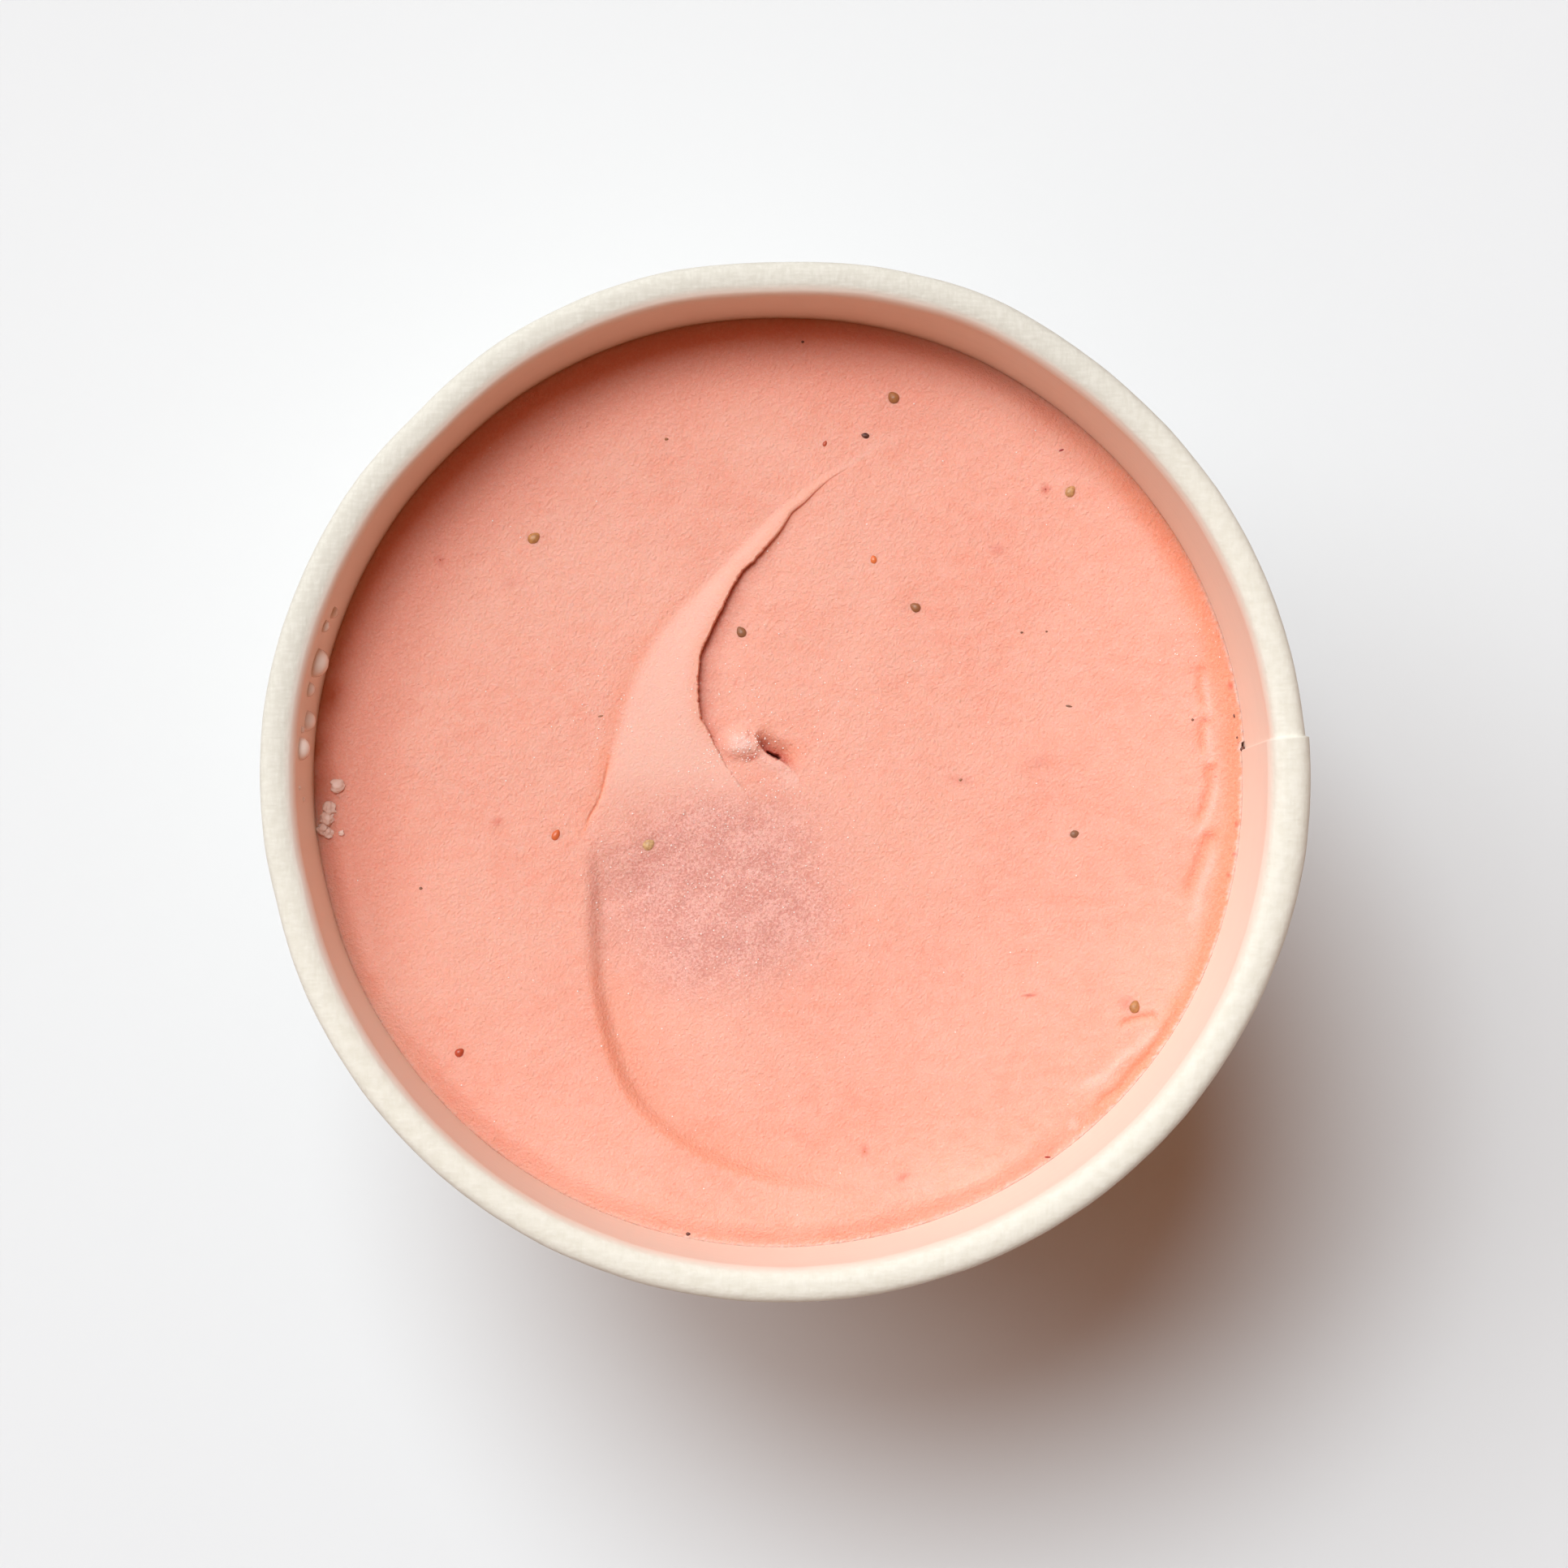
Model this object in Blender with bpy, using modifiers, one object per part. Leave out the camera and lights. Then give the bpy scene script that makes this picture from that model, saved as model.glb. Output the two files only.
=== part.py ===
"""An open ice cream pint: a white paper tub with a rolled rim, filled with strawberry ice cream.

The origin is the middle of the foot, +Z is up, and lengths are in metres.
The tub is two pieces of board. The side is one sheet, rolled into a cone and lapped over
itself at a seam, curled outwards at the rim and folded up inside the foot. The bottom is a disc
with a skirt, which the foot's fold holds. The ice cream fills the tub to a little below the rim.
"""

import math

import bmesh
import bpy
from mathutils import Matrix, Vector, noise

MM = 0.001

# The tub
CUP_HEIGHT = 98 * MM
RIM_RADIUS = 49 * MM
FOOT_RADIUS = 40 * MM
BOARD = 0.5 * MM
CURL_RADIUS = 1.65 * MM
CURL_END = math.radians(-120)
CURL_STEPS = 10
WALL_COLUMNS = 72
WALL_HEIGHTS = [9 * MM, 16 * MM, 50 * MM, 70 * MM, 82 * MM, 90 * MM]

# The foot: the side's fold, and the bottom's skirt inside it
FIT_GAP = 0.3 * MM
SKIRT_BOARD = 0.4 * MM
FOLD_CORNER = 0.4 * MM
HEM_TOP = 5.2 * MM
BOTTOM_TOP = 7.0 * MM
BOTTOM_CORNER = 0.8 * MM
SKIRT_END = 1.0 * MM
BOTTOM_COLUMNS = 72

# The side seam, where the sheet laps over itself
SEAM_AZIMUTH = math.radians(5)
SEAM_STEP = math.radians(0.35)
LAP_THICKNESS = 0.35 * MM
LAP_WIDTH = math.radians(8.7)
LAP_RELAX = math.radians(32)
LAP_STARTS = 9 * MM
LAP_FULL = 16 * MM

# Where a hand has pushed the rim in or out: azimuth and width in degrees, push in millimetres
RIM_PUSHES = [
    (135, 7, -0.33),
    (92, 8, -0.37),
    (194, 5, -0.18),
    (290, 15, -0.15),
    (67, 7, 0.30),
    (170, 10, 0.20),
]

# The ice cream. Its surface stands at ICE_LEVEL, and rises to the left
ICE_LEVEL = 83.7 * MM
ICE_LEAN = 1.2 * MM
ICE_COLUMNS = 72
ICE_RINGS = 22
WALL_CREEP = 1.0 * MM
CREEP_WIDTH = 2.6 * MM
FINE_REACH = 2.6 * MM
FINEST_REACH = 1.0 * MM

# The last ribbon of ice cream, in millimetres: its torn edge from the tail at the back to the
# middle, and the line where its other side starts, which runs on round the front as a low step
TORN_EDGE = [
    (8.6, 31.9), (3.3, 27.9), (-1.0, 23.3), (-5.5, 17.7), (-7.9, 11.5), (-7.6, 5.8), (-4.6, 0.2),
]
RIBBON_START = [
    (7.4, 31.9), (-0.4, 26.4), (-6.4, 20.2), (-12.0, 14.4), (-15.2, 8.0), (-16.9, 1.2), (-18.9, -4.6),
]
FRONT_STEP = [
    (-18.9, -4.6), (-18.9, -12.0), (-18.3, -21.0), (-15.2, -30.0), (-8.6, -35.8), (2.0, -39.3),
    (14.8, -39.6), (26.5, -35.8),
]
TORN_HEIGHT = 2.0 * MM
TORN_WIDTH = 0.35 * MM
VALLEY_DEPTH = 0.7 * MM
VALLEY_WIDTH = 5.0 * MM
STEP_DEPTH = 0.7 * MM
STEP_WIDTH = 1.3 * MM
STEP_FADE = 15 * MM

# The curled end of the ribbon: a nub, and a fold beside it
NUB = (-4.3, 3.4)
NUB_RADIUS = 1.5 * MM
NUB_HEIGHT = 1.0 * MM
FOLD = (-1.5, 3.0)
FOLD_RADIUS = 1.7 * MM
FOLD_DEPTH = 1.2 * MM

# Long shallow dents near the right edge: both ends in millimetres, half width and depth
DENTS = [
    ((40.2, 11.1), (41.1, 6.4), 0.55, 0.35),
    ((41.0, 6.0), (41.4, 1.9), 0.55, 0.25),
    ((41.8, -4.9), (39.0, -12.1), 0.75, 0.50),
    ((35.8, -22.4), (28.0, -29.6), 0.90, 0.40),
]

# Strawberry seeds and bits of fruit that stand out of the surface: x, y, length, turn in degrees
SEEDS = [
    (-23.9, 23.5, 1.5, 35),
    (10.7, 37.1, 1.4, 80),
    (27.8, 28.1, 1.4, 60),
    (-3.8, 14.4, 1.3, 130),
    (12.8, 16.8, 1.3, 150),
    (28.2, -5.0, 1.1, 0),
    (-12.7, -6.1, 1.5, 40),
    (34.0, -21.7, 1.5, 70),
    (8.8, 21.4, 1.0, 100),
    (-21.8, -5.1, 1.2, 60),
    (-30.9, -25.9, 1.1, 40),
]
SEED_HEIGHT = 0.45
SEED_SINK = 0.10 * MM

# Clumps of ice crystals on the left: x, y, radius in millimetres
CRYSTALS = [(-42.4, -0.4, 0.75), (-43.1, -3.6, 0.9), (-43.2, -5.1, 0.8)]


def smooth_step(low, high, value):
    """0 below low, 1 above high, and an S between them."""
    share = max(0.0, min(1.0, (value - low) / (high - low)))
    return share * share * (3 - 2 * share)


def bell(distance, width):
    return math.exp(-((distance / width) ** 2))


def spline(points, steps):
    """Points in metres along a smooth curve through the given points in millimetres."""
    ends = [points[0], *points, points[-1]]
    curve = []
    for i in range(len(points) - 1):
        a, b, c, d = (Vector(p) * MM for p in ends[i : i + 4])
        for k in range(steps):
            t = k / steps
            bend = (2 * a - 5 * b + 4 * c - d) * t**2 + (3 * b - a - 3 * c + d) * t**3
            curve.append((2 * b + (c - a) * t + bend) / 2)
    curve.append(Vector(points[-1]) * MM)
    return curve


class Line:
    """A smooth line on the surface, which says how far a point is from it and on which side."""

    def __init__(self, points, steps=6):
        self.curve = spline(points, steps)
        self.lengths = [(b - a).length for a, b in zip(self.curve, self.curve[1:])]
        self.total = sum(self.lengths)

    def near(self, point):
        """(distance, positive to the left of the line's direction; share of the way along)."""
        best, walked = (1.0, 0.0), 0.0
        for a, b, length in zip(self.curve, self.curve[1:], self.lengths):
            along = (b - a) / length
            reach = max(0.0, min(length, (point - a).dot(along)))
            offset = point - (a + along * reach)
            if offset.length < abs(best[0]):
                side = along.x * offset.y - along.y * offset.x
                best = (math.copysign(offset.length, side), (walked + reach) / self.total)
            walked += length
        return best


torn_edge = Line(TORN_EDGE)
ribbon_start = Line(RIBBON_START)
front_step = Line(FRONT_STEP)


def ribbon_height(point):
    """The ribbon's back rises from where it starts to its torn edge, and drops into a valley."""
    torn_offset, torn_share = torn_edge.near(point)
    start_offset, _ = ribbon_start.near(point)
    size = smooth_step(0.0, 0.55, torn_share) * (1 - smooth_step(0.72, 1.0, torn_share))
    past_tail = 1 - smooth_step(31 * MM, 35 * MM, point.y)
    past_end = smooth_step(-6 * MM, 1 * MM, point.y)
    # The line runs from the back to the front, so the ribbon lies on its right, where offsets are negative
    if torn_offset < 0:
        width = -torn_offset + max(0.0, start_offset)
        rise = max(0.0, start_offset) / max(width, 1e-6)
        back = TORN_HEIGHT * size * smooth_step(0.0, 1.0, rise) * past_tail * past_end
        return back * smooth_step(0.0, TORN_WIDTH, -torn_offset)
    valley = VALLEY_DEPTH * size * (1 - smooth_step(0.0, VALLEY_WIDTH, torn_offset))
    return -valley * past_end


def front_step_height(point):
    """The last sweep of the nozzle leaves a shallow bowl with a low step round its left and front."""
    offset, share = front_step.near(point)
    size = smooth_step(0.0, 0.10, share) * (1 - smooth_step(0.80, 1.0, share))
    if offset <= 0:
        return 0.0
    inside = smooth_step(0.0, STEP_WIDTH, offset) * (1 - smooth_step(STEP_WIDTH, STEP_FADE, offset))
    return -STEP_DEPTH * size * inside


def dent_height(point):
    """Long oval dents, each deepest along its middle."""
    depth = 0.0
    for start, end, half_width, deep in DENTS:
        a, b = Vector(start) * MM, Vector(end) * MM
        along = (b - a).normalized()
        reach = max(0.0, min((b - a).length, (point - a).dot(along)))
        distance = (point - a - along * reach).length
        depth += deep * MM * bell(distance, half_width * MM)
    return -depth


def surface_height(point):
    """Height of the ice cream's surface above ICE_LEVEL at a point of the plan."""
    radius = point.length
    height = -ICE_LEAN * point.x / RIM_RADIUS
    height += 0.35 * MM * noise.noise(Vector((point.x, point.y, 0.0)) * 55)
    height += ribbon_height(point) + front_step_height(point) + dent_height(point)
    height += NUB_HEIGHT * bell((point - Vector(NUB) * MM).length, NUB_RADIUS)
    height -= FOLD_DEPTH * bell((point - Vector(FOLD) * MM).length, FOLD_RADIUS)
    edge = inner_radius(ICE_LEVEL) - radius
    return height - WALL_CREEP * (1 - smooth_step(0.0, CREEP_WIDTH, edge))


def around(start, end, steps):
    """Angles from start to end, both included."""
    return [start + (end - start) * k / steps for k in range(steps + 1)]


# The side's lean: its centre line is the tangent from the foot to the rim's curl
curl_centre = Vector((RIM_RADIUS - CURL_RADIUS, CUP_HEIGHT - CURL_RADIUS))
foot_line = Vector((FOOT_RADIUS - BOARD / 2, BOARD / 2 + FOLD_CORNER))
to_curl = curl_centre - foot_line
LEAN = math.atan2(to_curl.x, to_curl.y) - math.asin((CURL_RADIUS - BOARD / 2) / to_curl.length)


def inner_radius(height):
    """Radius of the side's inner face, away from the seam."""
    return foot_line.x + (height - foot_line.y) * math.tan(LEAN) - BOARD / 2 / math.cos(LEAN)


def lap(azimuth, height):
    """(how far the sheet's visible face stands off at the seam, how far its back face follows)."""
    past = (SEAM_AZIMUTH - azimuth) % math.tau
    if past > LAP_WIDTH + LAP_RELAX or past < SEAM_STEP / 2:
        return 0.0, 0.0
    pressed = LAP_THICKNESS * smooth_step(LAP_STARTS, LAP_FULL, height)
    relaxed = pressed * (1 - smooth_step(LAP_WIDTH, LAP_WIDTH + LAP_RELAX, past))
    return relaxed, relaxed if past > LAP_WIDTH else 0.0


def rim_push(azimuth, height):
    """How far the rim is pushed out at this azimuth. The push dies away down the side."""
    push = 0.0
    for centre, width, amount in RIM_PUSHES:
        turn = (math.degrees(azimuth) - centre + 180) % 360 - 180
        push += amount * MM * bell(turn, width)
    return push * (max(0.0, height) / CUP_HEIGHT) ** 6


def side_path():
    """The side's centre line from the hem inside the foot, round the fold, up and round the curl.

    Each point comes with the direction of the face that shows: the inside, and the curl's outside.
    """
    drop = BOARD + 2 * FIT_GAP + SKIRT_BOARD
    lean = Vector((math.sin(LEAN), math.cos(LEAN)))
    inward = Vector((-math.cos(LEAN), math.sin(LEAN)))
    inner_corner = Vector((foot_line.x - drop + FOLD_CORNER, foot_line.y))
    outer_corner = Vector((foot_line.x - FOLD_CORNER, foot_line.y))
    hem_foot = inner_corner - Vector((FOLD_CORNER, 0))
    path = [(hem_foot + lean * (HEM_TOP - hem_foot.y), -inward)]
    for centre, turn in ((inner_corner, math.pi), (outer_corner, 1.5 * math.pi)):
        for angle in around(turn, turn + math.pi / 2, 2):
            out = Vector((math.cos(angle), math.sin(angle)))
            path.append((centre + out * FOLD_CORNER, -out))
    path += [(foot_line + lean * (height - foot_line.y) / lean.y, inward) for height in WALL_HEIGHTS]
    for angle in around(math.pi - LEAN, CURL_END, CURL_STEPS):
        out = Vector((math.cos(angle), math.sin(angle)))
        path.append((curl_centre + out * (CURL_RADIUS - BOARD / 2), out))
    return path


def new_object(name, mesh, material, collection):
    obj = bpy.data.objects.new(name, mesh)
    mesh.materials.append(material)
    collection.objects.link(obj)
    return obj


def finish_mesh(bm, name):
    """A Blender mesh from the bmesh, with its faces pointing out, as triangles."""
    bmesh.ops.recalc_face_normals(bm, faces=bm.faces)
    bmesh.ops.triangulate(bm, faces=bm.faces)
    mesh = bpy.data.meshes.new(name)
    bm.to_mesh(mesh)
    bm.free()
    mesh.shade_smooth()
    mesh.set_sharp_from_angle(angle=math.radians(40))
    return mesh


def make_side(material, collection):
    """The side's section is spun right round. Its last column is then turned to the first one,
    and the narrow faces between them are the seam's step."""
    path = side_path()
    bm = bmesh.new()
    front = [bm.verts.new((p.x + n.x * BOARD / 2, 0, p.y + n.y * BOARD / 2)) for p, n in path]
    back = [bm.verts.new((p.x - n.x * BOARD / 2, 0, p.y - n.y * BOARD / 2)) for p, n in path]
    ring = front + back[::-1]
    edges = [bm.edges.new((a, b)) for a, b in zip(ring, ring[1:] + ring[:1])]
    bmesh.ops.spin(
        bm, geom=edges, axis=(0, 0, 1), cent=(0, 0, 0), angle=math.tau, steps=WALL_COLUMNS, use_merge=True
    )
    column = math.tau / WALL_COLUMNS
    stretch = (math.tau - SEAM_STEP) / (math.tau - column)
    for vertex in bm.verts:
        turned = (math.atan2(vertex.co.y, vertex.co.x) + column / 2) % math.tau - column / 2
        azimuth = SEAM_AZIMUTH + turned * stretch
        # Each vertex belongs to one point of the path, and lies on its front or its back
        flat = Vector((math.hypot(vertex.co.x, vertex.co.y), vertex.co.z))
        point, normal = min(path, key=lambda pair: (pair[0] - flat).length)
        front_lap, back_lap = lap(azimuth, flat.y)
        shift = normal * (front_lap if (flat - point).dot(normal) > 0 else back_lap)
        radius = flat.x + shift.x + rim_push(azimuth, flat.y)
        vertex.co = (radius * math.cos(azimuth), radius * math.sin(azimuth), flat.y + shift.y)
    return new_object("cup_side", finish_mesh(bm, "cup_side"), material, collection)


def make_bottom(material, collection):
    """A disc with a rounded corner and a skirt that goes down between the side and its hem."""
    skirt_top = inner_radius(BOTTOM_TOP) - FIT_GAP
    skirt_low = inner_radius(SKIRT_END) - FIT_GAP
    corner = Vector((skirt_top - BOTTOM_CORNER, BOTTOM_TOP - BOTTOM_CORNER))
    turns = around(0.0, math.pi / 2 - LEAN, 3)
    arc = [corner + Vector((math.sin(turn), math.cos(turn))) * BOTTOM_CORNER for turn in turns]
    bm = bmesh.new()
    points = [Vector((0, BOTTOM_TOP)), *arc, Vector((skirt_low, SKIRT_END))]
    verts = [bm.verts.new((p.x, 0, p.y)) for p in points]
    edges = [bm.edges.new(pair) for pair in zip(verts, verts[1:])]
    bmesh.ops.spin(
        bm, geom=edges, axis=(0, 0, 1), cent=(0, 0, 0), angle=math.tau, steps=BOTTOM_COLUMNS, use_merge=True
    )
    bmesh.ops.remove_doubles(bm, verts=bm.verts, dist=0.01 * MM)
    bmesh.ops.recalc_face_normals(bm, faces=bm.faces)
    mesh = bpy.data.meshes.new("cup_bottom")
    bm.to_mesh(mesh)
    bm.free()
    obj = new_object("cup_bottom", mesh, material, collection)
    disc_face = max(mesh.polygons, key=lambda face: face.center.z)
    if disc_face.normal.z < 0:
        mesh.flip_normals()
    board = obj.modifiers.new("board", "SOLIDIFY")
    board.thickness = SKIRT_BOARD
    board.offset = -1
    board.use_even_offset = True
    mesh.shade_smooth()
    mesh.set_sharp_from_angle(angle=math.radians(40))
    return obj


def refine_near(bm, reach, *lines):
    """Splits the edges of the flat surface that lie near any of these lines or points."""
    near = []
    for edge in bm.edges:
        middle = (edge.verts[0].co + edge.verts[1].co).xy / 2
        if any(abs(line.near(middle)[0]) < reach for line in lines):
            near.append(edge)
    bmesh.ops.subdivide_edges(bm, edges=near, cuts=1, use_grid_fill=True)
    bmesh.ops.triangulate(bm, faces=bm.faces)


def add_lump(name, place, size, turn, collection):
    """A low oval lump that is half sunk in the surface at a point of the plan."""
    bm = bmesh.new()
    bmesh.ops.create_icosphere(bm, subdivisions=1, radius=0.5)
    bmesh.ops.scale(bm, verts=bm.verts, vec=size)
    bmesh.ops.rotate(bm, verts=bm.verts, matrix=Matrix.Rotation(turn, 3, "Z"))
    bmesh.ops.translate(bm, verts=bm.verts, vec=place)
    mesh = bpy.data.meshes.new(name)
    bm.to_mesh(mesh)
    bm.free()
    obj = bpy.data.objects.new(name, mesh)
    collection.objects.link(obj)
    return obj


def make_ice_cream(material, collection):
    """A flat disc, finer near the ribbon, whose points rise to the surface, with a body below."""
    bm = bmesh.new()
    rim = inner_radius(ICE_LEVEL) - FIT_GAP
    verts = [bm.verts.new((rim * k / ICE_RINGS, 0, 0)) for k in range(ICE_RINGS + 1)]
    edges = [bm.edges.new(pair) for pair in zip(verts, verts[1:])]
    bmesh.ops.spin(
        bm, geom=edges, axis=(0, 0, 1), cent=(0, 0, 0), angle=math.tau, steps=ICE_COLUMNS, use_merge=True
    )
    # The middle's slivers are merged away and closed again with one fan
    bmesh.ops.remove_doubles(bm, verts=bm.verts, dist=0.01 * MM)
    refine_near(bm, FINE_REACH, torn_edge)
    refine_near(bm, FINEST_REACH, torn_edge)
    outline = [e for e in bm.edges if e.is_boundary]
    below = bmesh.ops.extrude_edge_only(bm, edges=outline)["geom"]
    low_verts = [g for g in below if isinstance(g, bmesh.types.BMVert)]
    low_edges = [g for g in below if isinstance(g, bmesh.types.BMEdge) and g.is_boundary]
    floor = BOTTOM_TOP + FIT_GAP
    floor_radius = inner_radius(floor) - FIT_GAP - BOTTOM_CORNER
    surface = set(bm.verts) - set(low_verts)
    for vertex in low_verts:
        azimuth = math.atan2(vertex.co.y, vertex.co.x)
        vertex.co = (floor_radius * math.cos(azimuth), floor_radius * math.sin(azimuth), floor)
    for vertex in surface:
        plan = vertex.co.xy
        top = ICE_LEVEL + surface_height(plan)
        radius = plan.length
        if radius > rim - 0.01 * MM:
            azimuth = math.atan2(plan.y, plan.x)
            column = math.tau / ICE_COLUMNS
            lapped = max(lap(azimuth + turn, top)[0] for turn in (-column, 0, column))
            pushed = min(rim_push(azimuth + turn, top) for turn in (-column, 0, column))
            plan = plan * ((inner_radius(top) - FIT_GAP - lapped + pushed) / radius)
        vertex.co = (plan.x, plan.y, top)
    bmesh.ops.contextual_create(bm, geom=low_edges)
    obj = new_object("ice_cream", finish_mesh(bm, "ice_cream"), material, collection)
    fuse_toppings(obj, collection)
    return obj


def fuse_toppings(obj, collection):
    """Seeds, bits of fruit and ice crystals stand out of the surface as part of it."""
    lumps = bpy.data.collections.new("toppings")
    bpy.context.scene.collection.children.link(lumps)
    for i, (x, y, length, turn) in enumerate(SEEDS):
        plan = Vector((x, y)) * MM
        place = (plan.x, plan.y, ICE_LEVEL + surface_height(plan) - SEED_SINK)
        size = Vector((length, length * 0.75, length * 2 * SEED_HEIGHT)) * MM
        add_lump(f"seed_{i}", place, size, math.radians(turn), lumps)
    for i, (x, y, radius) in enumerate(CRYSTALS):
        plan = Vector((x, y)) * MM
        place = (plan.x, plan.y, ICE_LEVEL + surface_height(plan))
        add_lump(f"crystal_{i}", place, Vector((2, 1.7, 1.4)) * radius * MM, i * 1.3, lumps)
    join = obj.modifiers.new("toppings", "BOOLEAN")
    join.operation = "UNION"
    join.operand_type = "COLLECTION"
    join.collection = lumps
    join.solver = "MANIFOLD"
    graph = bpy.context.evaluated_depsgraph_get()
    fused = bpy.data.meshes.new_from_object(obj.evaluated_get(graph))
    obj.modifiers.clear()
    obj.data = fused
    for lump in list(lumps.objects):
        bpy.data.objects.remove(lump)
    bpy.data.collections.remove(lumps)


def make_material(name, colour, roughness):
    material = bpy.data.materials.new(name)
    material.use_nodes = True
    shader = material.node_tree.nodes["Principled BSDF"]
    shader.inputs["Base Color"].default_value = (*colour, 1)
    shader.inputs["Roughness"].default_value = roughness
    shader.inputs["Metallic"].default_value = 0.0
    return material


def main():
    for obj in list(bpy.data.objects):
        bpy.data.objects.remove(obj)
    pint = bpy.data.collections.new("ice_cream_pint")
    bpy.context.scene.collection.children.link(pint)
    white_board = make_material("white_board", (0.86, 0.83, 0.76), 0.65)
    strawberry = make_material("strawberry_ice_cream", (0.95, 0.42, 0.33), 0.55)
    make_side(white_board, pint)
    make_bottom(white_board, pint)
    make_ice_cream(strawberry, pint)


main()
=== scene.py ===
# %% [markdown]
# # An open pint of strawberry ice cream
# The object is a paper tub with a rolled rim, filled with ice cream that a machine's nozzle has
# laid in as a swirl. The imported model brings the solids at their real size. This script keeps
# their places and makes the surfaces that the eye sees: fibrous board, a soft frozen surface with
# seeds, frost, droplets and crystals.

# %% Load the frame
import math

import bmesh
import bpy
import numpy as np
from mathutils import Matrix, Vector, noise


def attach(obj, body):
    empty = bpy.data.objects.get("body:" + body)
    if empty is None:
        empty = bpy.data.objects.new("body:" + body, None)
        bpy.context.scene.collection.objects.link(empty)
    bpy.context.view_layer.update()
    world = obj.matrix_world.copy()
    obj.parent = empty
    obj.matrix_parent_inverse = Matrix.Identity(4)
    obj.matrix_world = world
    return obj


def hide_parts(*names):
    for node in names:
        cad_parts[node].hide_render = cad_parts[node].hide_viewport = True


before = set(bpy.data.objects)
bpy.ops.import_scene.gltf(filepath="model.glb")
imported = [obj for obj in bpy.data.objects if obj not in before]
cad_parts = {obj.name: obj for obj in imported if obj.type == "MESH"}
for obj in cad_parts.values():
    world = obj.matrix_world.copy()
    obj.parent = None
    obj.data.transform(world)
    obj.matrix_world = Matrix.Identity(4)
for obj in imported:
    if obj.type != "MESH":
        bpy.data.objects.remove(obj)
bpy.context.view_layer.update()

MM = 0.001

# %% [markdown]
# ## Camera, light and floor
# The photograph looks straight down from half a metre. A long lens keeps the rim and the ice
# cream almost the same size. A large soft lamp stands high behind the tub on the left, so the near
# wall is bright and the far wall throws a shadow on the ice cream. The shadow on the floor is
# both long and soft, which shows that the lamp is wide. Three sun lamps stand for it, from a narrow
# high one to a very wide low one, because a sun's light is the same in every view. A warm dim
# world fills the shadows.

# %% Camera
CUP_HEIGHT = 98 * MM
FRAME_WIDTH = 146.4 * MM  # what the picture spans at the rim's height
CAMERA_PLACE = Vector((-10.1 * MM, -3.9 * MM, CUP_HEIGHT + 500 * MM))
LOOKED_AT = Vector((-0.1 * MM, -0.3 * MM, CUP_HEIGHT))

lens = bpy.data.cameras.new("camera")
camera = bpy.data.objects.new("camera", lens)
bpy.context.scene.collection.objects.link(camera)
forward = (LOOKED_AT - CAMERA_PLACE).normalized()
right = forward.cross(Vector((0, 1, 0))).normalized()
turn = Matrix((right, right.cross(forward), -forward)).transposed()
camera.matrix_world = Matrix.Translation(CAMERA_PLACE) @ turn.to_4x4()
lens.sensor_width = 36
lens.lens = lens.sensor_width * (LOOKED_AT - CAMERA_PLACE).length / FRAME_WIDTH
bpy.context.scene.camera = camera
print("lens", round(lens.lens, 1), "mm")

# %% Light
def add_lamp(name, from_top, heading, spread, strength):
    """A sun lamp. Its angles are in degrees, and its strength is what it adds to a white floor."""
    sun = bpy.data.lights.new(name, "SUN")
    sun.angle = math.radians(spread)
    sun.energy = max(strength) * math.pi / math.cos(math.radians(from_top))
    sun.color = [part / max(strength) for part in strength]
    lamp = bpy.data.objects.new(name, sun)
    lamp.rotation_euler = (0, math.radians(from_top), math.radians(heading))
    bpy.context.scene.collection.objects.link(lamp)


add_lamp("key", 22, 113, 20, (0.53, 0.62, 0.66))
add_lamp("side", 30, 146, 24, (0.19, 0.21, 0.22))
add_lamp("wide", 52, 138, 64, (0.24, 0.26, 0.27))

world = bpy.data.worlds.new("studio")
world.use_nodes = True
world.node_tree.nodes["Background"].inputs["Color"].default_value = (0.235, 0.095, 0.045, 1)
bpy.context.scene.world = world
bpy.context.scene.view_settings.view_transform = "Standard"
bpy.context.scene.view_settings.look = "None"
print("lamps:", [lamp.name for lamp in bpy.data.lights])

# %% Helpers for materials
def new_material(name, roughness):
    """A material, its node tree and its shader."""
    material = bpy.data.materials.new(name)
    material.use_nodes = True
    shader = material.node_tree.nodes["Principled BSDF"]
    shader.inputs["Roughness"].default_value = roughness
    return material, material.node_tree, shader


def add(tree, kind, sockets, **settings):
    """Adds a node. Each socket takes a value or another node's output."""
    node = tree.nodes.new(kind)
    for name, value in settings.items():
        setattr(node, name, value)
    for socket, value in sockets.items():
        if isinstance(value, bpy.types.NodeSocket):
            tree.links.new(value, node.inputs[socket])
        else:
            node.inputs[socket].default_value = value
    return node


def place_of(tree, stretch=(1, 1, 1), turn=0):
    """Object coordinates, turned by this many degrees and then stretched."""
    texture = add(tree, "ShaderNodeTexCoord", {})
    sockets = {
        "Vector": texture.outputs["Object"],
        "Scale": [1 / part for part in stretch],
        "Rotation": (0, 0, math.radians(turn)),
    }
    return add(tree, "ShaderNodeMapping", sockets, vector_type="TEXTURE").outputs[0]


def speckle(tree, place, size, detail=2.0, rough=0.5):
    """Noise from 0 to 1 whose blobs are about this size."""
    sockets = {"Vector": place, "Scale": 1 / size, "Detail": detail, "Roughness": rough}
    return add(tree, "ShaderNodeTexNoise", sockets).outputs["Fac"]


def ramp(tree, value, low, high, start=0.0, end=1.0):
    """Moves a value from one range to another, smoothly and without passing its ends."""
    sockets = {"Value": value, "From Min": low, "From Max": high, "To Min": start, "To Max": end}
    return add(tree, "ShaderNodeMapRange", sockets, interpolation_type="SMOOTHSTEP").outputs[0]


def times(tree, first, second):
    return add(tree, "ShaderNodeMath", {0: first, 1: second}, operation="MULTIPLY").outputs[0]


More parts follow.
